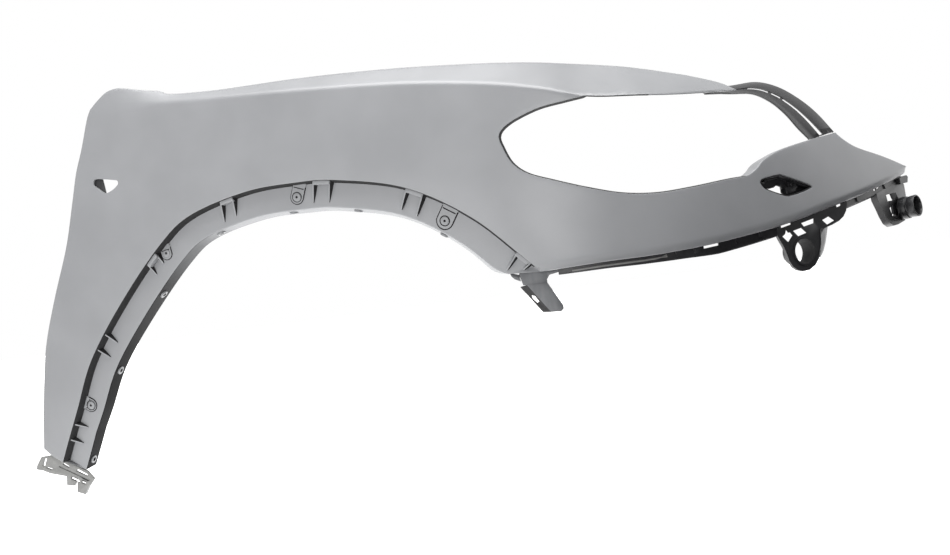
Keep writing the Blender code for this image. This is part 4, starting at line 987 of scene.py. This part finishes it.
def makeStrip(name, rows, thick, outward, finish):
    # a sheet of points, each row across the strip, given a wall
    rows = np.array(rows, float)
    gridSettings = {"x_subdivisions": rows.shape[1] - 1, "y_subdivisions": rows.shape[0] - 1, "size": 0.1}
    item = startMesh(name, bpy.ops.mesh.primitive_grid_add, rows.reshape(-1, 3), **gridSettings)
    item.data.update()
    middle = item.data.polygons[len(item.data.polygons) // 2]
    if middle.normal.dot(Vector(outward)) < 0:
        editAll((bpy.ops.mesh.flip_normals, {}))
    item.data.materials.append(finish)
    applyModifier(item, "wall", "SOLIDIFY", thickness=thick, offset=-1.0)
    return item


def makeTurned(name, profile, point, axis, steps=40):
    # a closed profile of radius and height in black plastic, spun round the axis
    side = axis.orthogonal().normalized()
    corners = [point + side * radius + axis * height for radius, height in profile]
    circleSettings = {"vertices": len(profile), "fill_type": "NOTHING", "radius": 0.01, "location": (0, 0, 0)}
    item = startMesh(name, bpy.ops.mesh.primitive_circle_add, corners, **circleSettings)
    spin = {"steps": steps, "angle": 2 * math.pi, "center": tuple(point), "axis": tuple(axis)}
    editAll((bpy.ops.mesh.spin, spin), (bpy.ops.mesh.remove_doubles, {"threshold": mergeGap}), outwards)
    item.data.materials.append(blackPlastic)
    return item


def giveDarkCompound(item, finish):
    # the piece's faces take the dark compound, the painted-shade finish, where they end up in one of this finish
    item.data.materials.clear()
    for each in (finish, paintedShadeCompound):
        item.data.materials.append(each)
    item.data.polygons.foreach_set("material_index", [1] * len(item.data.polygons))
    return item


def refine(name, node, finish):
    # a CAD node's own shape as one merged mesh, ready for finer work
    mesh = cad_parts[node].data.copy()
    mesh.name = name
    item = addObject(name, mesh, finish)
    useOnly(item)
    flat = {"angle_limit": math.radians(2)}
    editAll((bpy.ops.mesh.remove_doubles, {"threshold": mergeGap}), (bpy.ops.mesh.dissolve_limited, flat))
    return item


def complete(item, nodes, bevel=0.0006, angle=32):
    if bevel:
        roundEdges(item, bevel, angle)
    useOnly(item)
    bpy.ops.object.shade_smooth_by_angle(angle=math.radians(40))
    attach(item, "root")
    for node in nodes:
        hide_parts(node)
    print(item.name, "done:", len(item.data.polygons), "faces")


# The carrier under the nose: a rail along the lower edge, the teardrop lug with its ring and the hanging bracket.
carrier = {
    "shares": (0.569, 1.003), "out": 0.0172, "wall": 0.0030, "shelf": 0.024, "lip": 0.002, "middle": 0.8,
    # run of the rail, drop of its top and of its foot below the fold line
    "drops": [
        (0.0, 0.004, 0.0190), (0.2, 0.004, 0.0215), (0.28, 0.004, 0.0235), (0.36, 0.004, 0.0270),
        (0.42, 0.004, 0.0260), (0.5, 0.004, 0.0245), (0.6, 0.004, 0.0225), (1.0, 0.004, 0.0215),
    ],
    "clips": [0.684, 0.702, 0.745, 0.771, 0.880, 0.905, 0.960], "clipHalf": 0.0065, "clipTaper": 0.7,
    "clipTop": 0.009, "clipFoot": 0.0185, "clipSeat": 0.0024, "clipThick": 0.0045,
    "slots": [(0.709, 0.724), (0.792, 0.803), (0.866, 0.872), (0.936, 0.941)],
    "slotTop": 0.0085, "slotFoot": 0.0138, "slotSeat": 0.004, "slotThrough": 0.0105,
    "lugShare": (0.817, 0.294), "lugDepth": 0.0180, "lugThick": 0.0055, "ringMiddle": (804.8, 251.2),
    "lug": [
        (580, 425), (584, 470), (602, 505), (626, 545), (646, 592), (664, 640), (690, 680), (720, 702), (757, 709),
        (800, 699), (838, 667), (862, 622), (873, 565), (875, 505), (872, 440), (905, 418), (950, 398), (995, 372),
        (1025, 342), (1042, 305), (1048, 262), (1040, 225), (800, 318), (590, 395),
    ],
    # radius and height of the turned forms, then the flat-sided core behind the bore
    "ring": [(0.006, -0.001), (0.0213, -0.001), (0.0198, -0.030), (0.006, -0.030)],
    "rim": [(0.0155, -0.003), (0.0230, -0.003), (0.0223, 0.0012), (0.0155, 0.0012)],
    "bore": [(0.0, 0.004), (0.0195, 0.004), (0.0195, -0.040), (0.0, -0.040)],
    "core": 0.012, "coreSides": 8, "coreLift": 0.004, "coreThrough": 0.044,
    "flankNear": [(870, 424), (873, 470), (874, 520), (868, 570), (856, 612)],
    "flankFar": [(912, 414), (905, 470), (897, 520), (884, 570), (864, 616)],
    "flankDeep": 0.013, "flankRoot": 0.003, "flankCrown": 0.0006, "flankThick": 0.0016,
    "windows": [
        [(640, 434), (653, 452), (666, 450), (682, 470), (655, 514), (617, 478), (635, 460)],
        [(688, 440), (740, 420), (775, 452), (722, 475)], [(742, 388), (822, 357), (822, 388), (760, 410)],
        [(882, 368), (922, 344), (960, 370), (915, 397)], [(604, 400), (666, 377), (670, 397), (609, 420)],
        [(972, 258), (999, 247), (1002, 271), (979, 282)], [(1235, 148), (1250, 136), (1260, 144), (1248, 159)],
    ],
    "sightStart": 0.05, "sightThrough": 0.13,
    "hangerShare": (0.968, 0.345), "hangerThick": 0.012,
    "hanger": [
        (1244, 190), (1254, 232), (1280, 285), (1304, 338), (1330, 384), (1358, 405), (1390, 396), (1436, 368),
        (1445, 300), (1440, 200), (1428, 130), (1400, 100), (1330, 140),
    ],
    # name, lift off the hanger's face, thickness, operation and outlines
    "hangerWorks": [
        ("window", 0.002, 0.016, "DIFFERENCE", [
            [(1308, 200), (1372, 182), (1394, 232), (1402, 300), (1396, 345), (1352, 340), (1328, 275)],
        ]),
        ("bar", -0.003, 0.004, "UNION", [
            [(1326, 262), (1345, 236), (1402, 228), (1402, 250), (1362, 262), (1340, 290)],
            [(1362, 262), (1380, 245), (1402, 262), (1400, 330), (1372, 322)],
        ]),
        ("tab", 0.006, 0.010, "UNION", [[(1376, 92), (1422, 72), (1432, 84), (1430, 120), (1384, 132)]]),
    ],
}
lugView = ((690, 165), 6.672)


def seenAt(spots, anchor, facing):
    return onPicture(seen(spots, *lugView), anchor, facing)


def seenPlate(name, spots, anchor, facing, thick, lift=0.0):
    # a black plate with its outline from the enlarged view, lifted off the plane, its thickness going inwards
    corners = [corner + facing * lift for corner in seenAt(spots, anchor, facing)]
    return makePlate(name, corners, -facing * thick, blackPlastic)


def railEdge(share):
    low = sheetCurve(skin["low"])
    return sheetPlace(share), float(np.interp(sheetPlace(share), low[:, 0], low[:, 1]))


def railBlock(rail, operation, edge, spots, seat, thick):
    corners = [Vector(place(s, v, carrier["out"] - seat)) for s, v in spots]
    way = Vector(surface(*edge)[1])
    combine(rail, makePlate("block", corners, way * thick, blackPlastic), operation)


def buildRail():
    start, end = carrier["shares"]
    knots = np.array(carrier["drops"])
    out, shelf, lip = carrier["out"], carrier["shelf"], carrier["lip"]
    rows = []
    for t in np.linspace(0, 1, 60):
        s, v = railEdge(start + (end - start) * t)
        top, foot = (np.interp(t, knots[:, 0], knots[:, k]) for k in (1, 2))
        profile = [(top, out + shelf / 2), (top, out + lip), (top + lip, out), (foot - lip, out)]
        profile += [(foot, out + lip), (foot, out + shelf)]
        rows.append([place(s, v - drop, depth) for drop, depth in profile])
    outward = -surface(*railEdge(carrier["middle"]))[1]
    rail = makeStrip("nose_carrier", rows, carrier["wall"], outward, blackPlastic)
    # snap clips on the rail's face, each a tapered block
    for share in carrier["clips"]:
        s, v = railEdge(share)
        half, top, foot = carrier["clipHalf"], v - carrier["clipTop"], v - carrier["clipFoot"]
        low = half * carrier["clipTaper"]
        spots = [(s - half, top), (s + half, top), (s + low, foot), (s - low, foot)]
        railBlock(rail, "UNION", (s, v), spots, carrier["clipSeat"], carrier["clipThick"])
    for first, last in carrier["slots"]:
        (s, v), (e, w) = railEdge(first), railEdge(last)
        top, foot = carrier["slotTop"], carrier["slotFoot"]
        spots = [(s, v - top), (e, w - top), (e, w - foot), (s, v - foot)]
        railBlock(rail, "DIFFERENCE", (s, v), spots, carrier["slotSeat"], carrier["slotThrough"])
    return rail


def buildLug(anchor, facing):
    lug = seenPlate("lug", carrier["lug"], anchor, facing, carrier["lugThick"])
    lug.data.materials.append(paintedShadeCompound)
    centre = onPicture([carrier["ringMiddle"]], anchor, facing)[0]
    for name in ("ring", "rim"):
        combine(lug, makeTurned(name, carrier[name], centre, facing), "UNION")
    # the lit flank at the lug's front edge turns back
    near = seenAt(carrier["flankNear"], anchor, facing)
    far = seenAt(carrier["flankFar"], anchor - facing * carrier["flankDeep"], facing)
    root, crown = facing * carrier["flankRoot"], facing * carrier["flankCrown"]
    rows = [[a - root, a, a + (b - a) * 0.5 + crown, b] for a, b in zip(near, far)]
    combine(lug, makeStrip("flank", rows, carrier["flankThick"], facing, blackPlastic), "UNION")
    # painted shade: the bore's wall takes the dark compound so the hollow reads dark
    combine(lug, giveDarkCompound(makeTurned("bore", carrier["bore"], centre, facing), blackPlastic), "DIFFERENCE")
    side, lift = facing.orthogonal().normalized(), facing * carrier["coreLift"]
    turns = [Matrix.Rotation(2 * math.pi * k / carrier["coreSides"], 3, facing) for k in range(carrier["coreSides"])]
    corners = [centre + turn @ side * carrier["core"] + lift for turn in turns]
    combine(lug, makePlate("core", corners, -facing * carrier["coreThrough"], blackPlastic), "DIFFERENCE")
    return lug


def buildHanger():
    anchor, facing = frameOn(carrier["hangerShare"], carrier["lugDepth"])
    hanger = seenPlate("hanger", carrier["hanger"], anchor, facing, carrier["hangerThick"])
    for name, lift, thick, operation, outlines in carrier["hangerWorks"]:
        for outline in outlines:
            combine(hanger, seenPlate(name, outline, anchor, facing, thick, lift), operation)
    return hanger


def buildCarrier():
    rail = buildRail()
    rail.data.materials.append(paintedShadeCompound)
    anchor, facing = frameOn(carrier["lugShare"], carrier["lugDepth"])
    combine(rail, buildLug(anchor, facing), "UNION")
    # windows through the lug, and the gaps left between the rail and the skin, cut along the line of sight
    spot = cameraFrame()[0]
    for window in carrier["windows"]:
        corners = seenAt(window, anchor, facing)
        way = (sum(corners, Vector()) / len(corners) - spot).normalized()
        corners = [corner - way * carrier["sightStart"] for corner in corners]
        combine(rail, makePlate("window", corners, way * carrier["sightThrough"], blackPlastic), "DIFFERENCE")
    combine(rail, buildHanger(), "UNION")
    complete(rail, ["bumper_rail"], bevel=0.0005, angle=40)


buildCarrier()

# A thin raised strip between the chamfer and the carrier, made pale as a painted highlight of the light caught along
# the carrier's top edge.
highlightStrip = {
    "shares": (0.582, 0.672), "middle": 0.62, "drop": 0.0140, "height": 0.0030, "rise": 0.0020, "thick": 0.0030,
    "fadeRate": 6, "fadeEnd": 0.25, "profile": [(0, 0.0008), (0.3, 0), (0.7, 0), (1, 0.0008)],
}


def buildHighlightStrip():
    rows = []
    first, last = highlightStrip["shares"]
    top, out = highlightStrip["drop"], carrier["out"] - highlightStrip["rise"]
    for t in np.linspace(0, 1, 24):
        s, v = railEdge(first + (last - first) * t)
        tall = highlightStrip["height"] * min(1.0, highlightStrip["fadeRate"] * (1 - t) + highlightStrip["fadeEnd"])
        rows.append([place(s, v - top - share * tall, out + sunk) for share, sunk in highlightStrip["profile"]])
    outward = -surface(*railEdge(highlightStrip["middle"]))[1]
    strip = makeStrip("painted_highlight_strip", rows, highlightStrip["thick"], outward, palePlastic)
    complete(strip, [], bevel=0)


buildHighlightStrip()

# The cup with a flared collar at the front end.
socket = {
    "share": (0.983, 0.344), "depth": 0.0170, "seat": 0.0005, "length": 0.029, "wall": 0.0018, "eye": 0.0045,
    "base": 0.0180, "mouth": 0.0163, "collar": 0.0172, "belly": 0.0005, "flare": 0.0006, "turnIn": 0.0002,
}


def buildSocket():
    point, axis = frameOn(socket["share"], socket["depth"])
    seat, length, wall = socket["seat"], socket["length"], socket["wall"]
    eye, base, mouth, collar = (socket[key] for key in ("eye", "base", "mouth", "collar"))
    belly, flared, lip = base + socket["belly"], collar + socket["flare"], collar - socket["turnIn"]
    profile = [(eye, seat), (base, seat)] + [(radius, length * share) for radius, share in (
        (belly, 0.20), (base, 0.44), (mouth, 0.48), (mouth, 0.56), (collar, 0.60), (flared, 0.97), (lip, 1.0),
        (mouth - wall * 0.5, 0.99), (mouth - wall, 0.82), (mouth - wall * 1.4, 0.30), (eye, 0.30))]
    cup = makeTurned("nose_socket", profile, point, axis, 48)
    complete(cup, ["locating_socket"], bevel=0.0003)


buildSocket()


# The strut from the brow's tip to the nose: two bands with a long slot between them, bridged at its ends and twice.
strut = {
    "inner": [
        (0.757, 0.733), (0.780, 0.727), (0.802, 0.714), (0.824, 0.685), (0.836, 0.648), (0.845, 0.600),
        (0.852, 0.577),
    ],
    "outer": [
        (0.757, 0.755), (0.795, 0.769), (0.826, 0.765), (0.854, 0.742), (0.873, 0.699), (0.886, 0.642),
        (0.893, 0.584),
    ],
    "innerDepths": [0.0070, 0.0040, 0.0050, 0.0060, 0.0060, 0.0050, 0.0033],
    "outerDepths": [0.0270, 0.0310, 0.0300, 0.0260, 0.0200, 0.0120, 0.0033],
    "innerSeen": [(703.5, 92.8), (729, 93.4), (752, 93.6), (770, 101.4), (785, 113.5), (798, 128.3), (808.8, 139.2)],
    "outerSeen": [(706, 88.5), (732, 85), (756, 81.6), (778, 86.6), (799, 98.3), (817, 112.8), (834.1, 131.5)],
    "darkPatch": [(820.6, 129), (829.8, 127.6), (833.2, 131.2), (823.9, 134.2)],
    "darkPatchShare": 0.2, "darkPatchLift": 0.0007, "darkPatchThick": 0.0016,
    # run, share of the width where the slot starts and where it ends
    "slot": [
        (0.0, 0.52, 0.61), (0.25, 0.52, 0.645), (0.40, 0.48, 0.59), (0.55, 0.45, 0.55), (0.8, 0.415, 0.515),
        (1.0, 0.41, 0.545),
    ],
    "bridges": [(0.0, 0.285), (0.449, 0.485), (0.564, 0.581), (0.992, 1.0)], "bridgeOver": 0.15,
    "bridgeDepths": (0.0010, 0.0012, 0.0010), "bridgeShare": 0.6, "steps": 49,
    "wall": 0.0022, "lip": 0.0050, "edge": 0.0006, "dish": 0.0035, "dishSpan": (0.1, 0.5),
    # shares of the width: the upper band's lip and rims, then the lower band's rim, its dish and its far rim
    "lipShare": 0.6, "rim": 0.04, "slotRim": 0.02, "slotLift": 0.0004,
    "lowRim": 0.03, "dishFrom": 0.35, "dishTo": 0.7, "dishKept": 0.9, "farRim": 0.985,
}


def sideLine(side, count):
    # each knot keeps its distance from the camera and moves to where the edge is seen
    at = np.array(onSheet(strut[side]))
    foot, inboard = plan(at[:, 0])
    depth = inset(at[:, 0], at[:, 1]) + np.array(strut[side + "Depths"])
    points = np.column_stack([foot + inboard * depth[:, None], at[:, 1]]) - zero
    back = cameraFrame()[3]
    moved = np.array([onPicture([spot], Vector(point), back)[0] for point, spot in zip(points, strut[side + "Seen"])])
    line = splineThrough(moved, 12)
    return line[np.linspace(0, len(line) - 1, count).round().astype(int)]


def buildStrut():
    count, lip, edge, dish = (strut[key] for key in ("steps", "lip", "edge", "dish"))
    inner, outer = sideLine("inner", count), sideLine("outer", count)
    along = np.gradient(inner + outer, axis=0)
    inward = np.cross(along, outer - inner)
    inward = unit(inward)
    inward *= np.sign(inward[:, 1:2])
    run = np.linspace(0, 1, count)
    knots = np.array(strut["slot"])
    first, last = (np.interp(run, knots[:, 0], knots[:, k])[:, None] for k in (1, 2))

    def at(share, depth):
        return outer + (inner - outer) * share + inward * depth

    start, span = strut["dishSpan"]
    dish = dish * np.clip((run - start) / span, 0, 1)[:, None]
    upper = [(0, lip * strut["lipShare"]), (0, edge), (strut["rim"], 0), (first / 2, -edge)]
    upper += [(first - strut["slotRim"], 0), (first, strut["slotLift"])]
    lower = [(last, lip), (last, edge), (last + strut["lowRim"], 0), (last + (1 - last) * strut["dishFrom"], dish)]
    lower += [(last + (1 - last) * strut["dishTo"], dish * strut["dishKept"]), (strut["farRim"], 0), (1, edge)]
    middle = tuple(-inward[count // 2])
    piece, second = (
        makeStrip(name, np.stack([at(*spot) for spot in row], 1), strut["wall"], middle, blackPlastic)
        for name, row in (("lamp_bridge", upper), ("lower", lower)))
    over, thick = strut["bridgeOver"], strut["wall"] * strut["bridgeShare"]
    for start, end in strut["bridges"]:
        rows = []
        for t in np.linspace(start, end, 5):
            a, b, way = (np.array([np.interp(t, run, line[:, k]) for k in range(3)])
                         for line in (at(first, 0), at(last, 0), inward))
            spots = (a + (a - b) * over, a + (b - a) * 0.5, b + (b - a) * over)
            rows.append([spot + way * depth for spot, depth in zip(spots, strut["bridgeDepths"])])
        combine(second, makeStrip("bridge", rows, thick, middle, blackPlastic), "UNION")
    combine(piece, second, "UNION")
    # a dull dark patch at the foot of the outer band, in the dark compound
    point, away = Vector(at(strut["darkPatchShare"], 0)[-3]), Vector(-inward[-3])
    corners = onPicture(strut["darkPatch"], point + away * strut["darkPatchLift"], away)
    patch = makePlate("darkPatch", corners, -away * strut["darkPatchThick"], blackPlastic)
    piece.data.materials.append(paintedShadeCompound)
    combine(piece, giveDarkCompound(patch, blackPlastic), "UNION")
    complete(piece, ["lamp_strut"], bevel=0.0004, angle=50)


buildStrut()

# The black guide in the washer opening: a rim, a tray with the nozzle on it, and the gap beside it.
guide = {
    "inset": 0.0006, "wall": 0.0016, "depth": 0.0165, "middle": (0.803, 0.470), "mergeGap": 0.00005,
    # the rim's rows: way into the opening beyond the inset, and depth
    "rows": [(0, 0.0012), (0.0002, 0.006), (0.0004, 0.0175)],
    "trayThick": 0.0022, "tray": [
        (450, 112), (500, 66), (600, 44), (652, 58), (832, 134), (818, 166), (650, 222), (628, 202), (610, 186),
        (603, 146), (575, 136), (560, 150), (524, 160), (470, 150),
    ],
    "slitLift": 0.002, "slitThrough": 0.008, "slit": [(752, 124), (762, 119), (806, 141), (800, 149)],
    "ledgeLift": 0.0085, "ledgeThick": 0.0095, "ledge": [
        (488, 112), (512, 90), (600, 70), (640, 80), (790, 142), (770, 148), (640, 96), (602, 84), (520, 102),
        (500, 120),
    ],
    "nozzleSeen": (668, 133), "nozzle": [
        (0.0008, -0.001), (0.00624, -0.001), (0.00624, 0.00225), (0.0048, 0.002625), (0.0048, 0.006375),
        (0.00408, 0.0075), (0.00216, 0.0075), (0.00192, 0.00525), (0.0008, 0.00525),
    ],
    "armLift": 0.003, "armThick": 0.0042, "armStep": 0.0012, "arms": [
        [(600, 100), (640, 96), (646, 150), (612, 160)], [(690, 112), (722, 122), (716, 152), (694, 160)],
        [(640, 150), (700, 140), (706, 172), (652, 190)],
    ],
}


def buildRim():
    hole = openingEdge("washer")
    centre = hole.mean(0)
    ways = unit(centre - hole)
    rows = []
    for k in list(range(len(hole))) + [0]:
        at = hole[k] + ways[k] * guide["inset"]
        rows.append([place(*(at + ways[k] * way), depth) for way, depth in guide["rows"]])
    rows = np.array(rows)
    outward = Vector(rows[len(rows) // 2, 1] - rows[:, 1].mean(0))
    rim = makeStrip("washer_nozzle_guide", rows, guide["wall"], outward, blackPlastic)
    useOnly(rim)
    editAll((bpy.ops.mesh.remove_doubles, {"threshold": guide["mergeGap"]}), (bpy.ops.mesh.delete_loose, {}))
    return rim


def buildGuide():
    anchor, facing = frameOn(guide["middle"], guide["depth"])
    rim = buildRim()
    tray = seenPlate("washer_nozzle_tray", guide["tray"], anchor, facing, guide["trayThick"])
    slit = seenPlate("slit", guide["slit"], anchor, facing, guide["slitThrough"], guide["slitLift"])
    combine(tray, slit, "DIFFERENCE")
    high = anchor + facing * guide["ledgeLift"]
    combine(tray, seenPlate("ledge", guide["ledge"], high, facing, guide["ledgeThick"]), "UNION")
    point = seenAt([guide["nozzleSeen"]], anchor, facing)[0]
    combine(tray, makeTurned("nozzle", guide["nozzle"], point, facing, 24), "UNION")
    for k, arm in enumerate(guide["arms"]):
        lift, thick = (guide[key] + guide["armStep"] * k for key in ("armLift", "armThick"))
        combine(tray, seenPlate("arm", arm, anchor + facing * lift, facing, thick), "UNION")
    complete(tray, ["washer_guide"], bevel=0.0003, angle=50)
    complete(rim, ["washer_guide"], bevel=0)


buildGuide()

# The folded steel brace at the front end of the arch: neck, face, flank with a slot, curled tab and side arm.
brace = {
    "thick": 0.0016, "tabShare": 0.8, "topBand": 0.004, "away": (0.2, -0.975, 0.05),
    "flankFacing": (-0.8, -0.5, -0.3),
    # lifts off the neck's face, then the slot's way along the line of sight
    "faceLift": 0.0012, "armLift": -0.0004, "nearLift": 0.0008, "farLift": -0.0098, "slotLift": -0.0048,
    "slotStart": 0.004, "slotThrough": 0.020,
    "neck": [(520, 268), (545.6, 266), (546.2, 272.4), (547.4, 283.2), (523.4, 285.4), (519, 275)],
    "face": [(526.8, 284.9), (547.5, 282.8), (563.2, 305), (563.9, 308.4), (561.6, 311.2), (551.2, 312)],
    "arm": [(545, 270.5), (561.4, 268.4), (561.4, 271.2), (549.4, 274.8), (546.6, 280)],
    "flankNear": [(527.4, 285.2), (539.6, 298.8), (551.6, 312)],
    "flankFar": [(520.4, 287.2), (531.6, 299.6), (543, 312.2)],
    "slot": [(531.8, 295.4), (534.9, 296), (539.2, 301.5), (537.4, 302.6), (533, 298.6)],
    "tab": [[(509.8, 273.2), (519.4, 274.8)], [(511.6, 276.6), (519.8, 277.8)], [(514.8, 279.4), (520.2, 279.8)],
            [(518.6, 280.8), (520.8, 281.4)]],
    "curl": [0.0, 0.0022, 0.0022, 0.0002],
}


def buildBrace():
    spots = [v.co.copy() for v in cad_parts["arch_bracket"].data.vertices]
    high = max(spot.z for spot in spots)
    upper = [spot for spot in spots if spot.z > high - brace["topBand"]]
    anchor = sum(upper, Vector()) / len(upper)
    away, thick = Vector(brace["away"]).normalized(), brace["thick"]

    def onBrace(spots, lift=0.0):
        return onPicture(spots, anchor + away * lift, away)

    item = makePlate("arch_brace", onBrace(brace["neck"]), -away * thick, coatedSteel)
    item.data.materials.append(paintedShadeCompound)
    for name in ("face", "arm"):
        corners = onBrace(brace[name], brace[name + "Lift"])
        combine(item, makePlate(name, corners, -away * thick, coatedSteel), "UNION")
    # painted shade: the flank, turned away from the light, takes the dark compound
    near, far = onBrace(brace["flankNear"], brace["nearLift"]), onBrace(brace["flankFar"], brace["farLift"])
    flank = makeStrip("flank", list(zip(near, far)), thick, brace["flankFacing"], paintedShadeCompound)
    combine(item, giveDarkCompound(flank, coatedSteel), "UNION")
    slot = onBrace(brace["slot"], brace["slotLift"])
    way = (slot[0] - cameraFrame()[0]).normalized()
    corners = [corner - way * brace["slotStart"] for corner in slot]
    combine(item, makePlate("slot", corners, way * brace["slotThrough"], coatedSteel), "DIFFERENCE")
    rows = [onBrace(row, lift) for row, lift in zip(brace["tab"], brace["curl"])]
    combine(item, makeStrip("tab", rows, thick * brace["tabShare"], away, coatedSteel), "UNION")
    complete(item, ["arch_bracket"], bevel=0.0003, angle=40)


buildBrace()

# The small pieces keep the solids' shapes, with their edges broken and their faces finished.
retainer = refine("indicator_retainer", "indicator_clip", blackPlastic)
complete(retainer, ["indicator_clip"], bevel=0.0004, angle=30)

sill = {
    "windows": [
        [(71, 478), (79.2, 481.6), (78.6, 483.6), (70.4, 480)],
        [(81.2, 482), (85.4, 483.4), (84.8, 485.2), (80.8, 483.8)],
    ],
    "windowThrough": (-0.00726, 0.02068, 0), "lift": 0.003, "grooveThrough": (0, 0.0052, 0),
    "groove": [(61, 467.4), (74, 474.6), (88.4, 480.2), (88, 481.6), (73.6, 476), (60.6, 469)],
}


def buildSill():
    item = refine("sill_clip_strip", "sill_clip", palePlastic)
    item.data.materials.append(paintedShadeCompound)
    low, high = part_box("sill_clip")
    away = Vector((0, -1, 0))
    front = Vector(((low[0] + high[0]) / 2, low[1], low[2]))
    # painted shade: the walls of the windows and the groove take the dark compound
    for window in sill["windows"]:
        corners = onPicture(window, front + away * sill["lift"], away)
        cut = makePlate("window", corners, sill["windowThrough"], palePlastic)
        combine(item, giveDarkCompound(cut, palePlastic), "DIFFERENCE")
    corners = [corner + away * sill["lift"] for corner in onPicture(sill["groove"], front, away)]
    cut = makePlate("groove", corners, sill["grooveThrough"], palePlastic)
    combine(item, giveDarkCompound(cut, palePlastic), "DIFFERENCE")
    complete(item, ["sill_clip"], bevel=0.0004, angle=30)


buildSill()


def facingMiddle(bearing, rise, away):
    b, h = math.radians(bearing), math.radians(rise)
    way = Vector((math.sin(b) * math.cos(h), -math.cos(b) * math.cos(h), math.sin(h)))
    spot = Vector(studio["middle"]) + way * away
    return Matrix.Translation(spot) @ way.to_track_quat("Z", "Y").to_matrix().to_4x4()


def stagePlane(name, size, location, finish):
    bpy.ops.object.select_all(action="DESELECT")
    bpy.ops.mesh.primitive_plane_add(size=size, location=location)
    item = bpy.context.active_object
    item.name = name
    item.data.materials.append(finish)
    return item


def buildStudio():
    sceneNow = bpy.context.scene
    spot, right, up, back = cameraFrame()
    data = bpy.data.cameras.new("camera")
    data.sensor_width = studio["sensor"]
    data.lens = studio["sensor"] * studio["focalPixels"] / studio["pictureWidth"]
    camera = bpy.data.objects.new("camera", data)
    camera.matrix_world = Matrix.Translation(spot) @ Matrix((right, up, back)).transposed().to_4x4()
    sceneNow.collection.objects.link(camera)
    sceneNow.camera = camera
    sceneNow.view_settings.view_transform = "Standard"

    floorHeight = cadBox[0][2] - studio["floorDrop"]
    stagePlane("floor", studio["floorSize"], (0, 0, floorHeight), makeFinish("white studio floor"))

    world = bpy.data.worlds.new("studio")
    sceneNow.world = world
    world.use_nodes = True
    sky = world.node_tree.nodes["Background"]
    sky.inputs["Color"].default_value = (1, 1, 1, 1)
    sky.inputs["Strength"].default_value = 1.0

    for name, bearing, rise, away, wide, high, glow in studio["boxes"]:
        lamp = bpy.data.lights.new(name, "AREA")
        lamp.shape, lamp.size, lamp.size_y = "RECTANGLE", wide, high
        lamp.energy = glow * math.pi * wide * high
        holder = bpy.data.objects.new(name, lamp)
        holder.matrix_world = facingMiddle(bearing, rise, away)
        holder.visible_camera = False
        sceneNow.collection.objects.link(holder)
    cloth = makeFinish("black flag cloth")
    for bearing, rise, away, size in studio["flags"]:
        flag = stagePlane("flag", size, (0, 0, 0), cloth)
        flag.data.transform(facingMiddle(bearing, rise, away))
        flag.visible_camera = False


buildStudio()
print("studio lit")
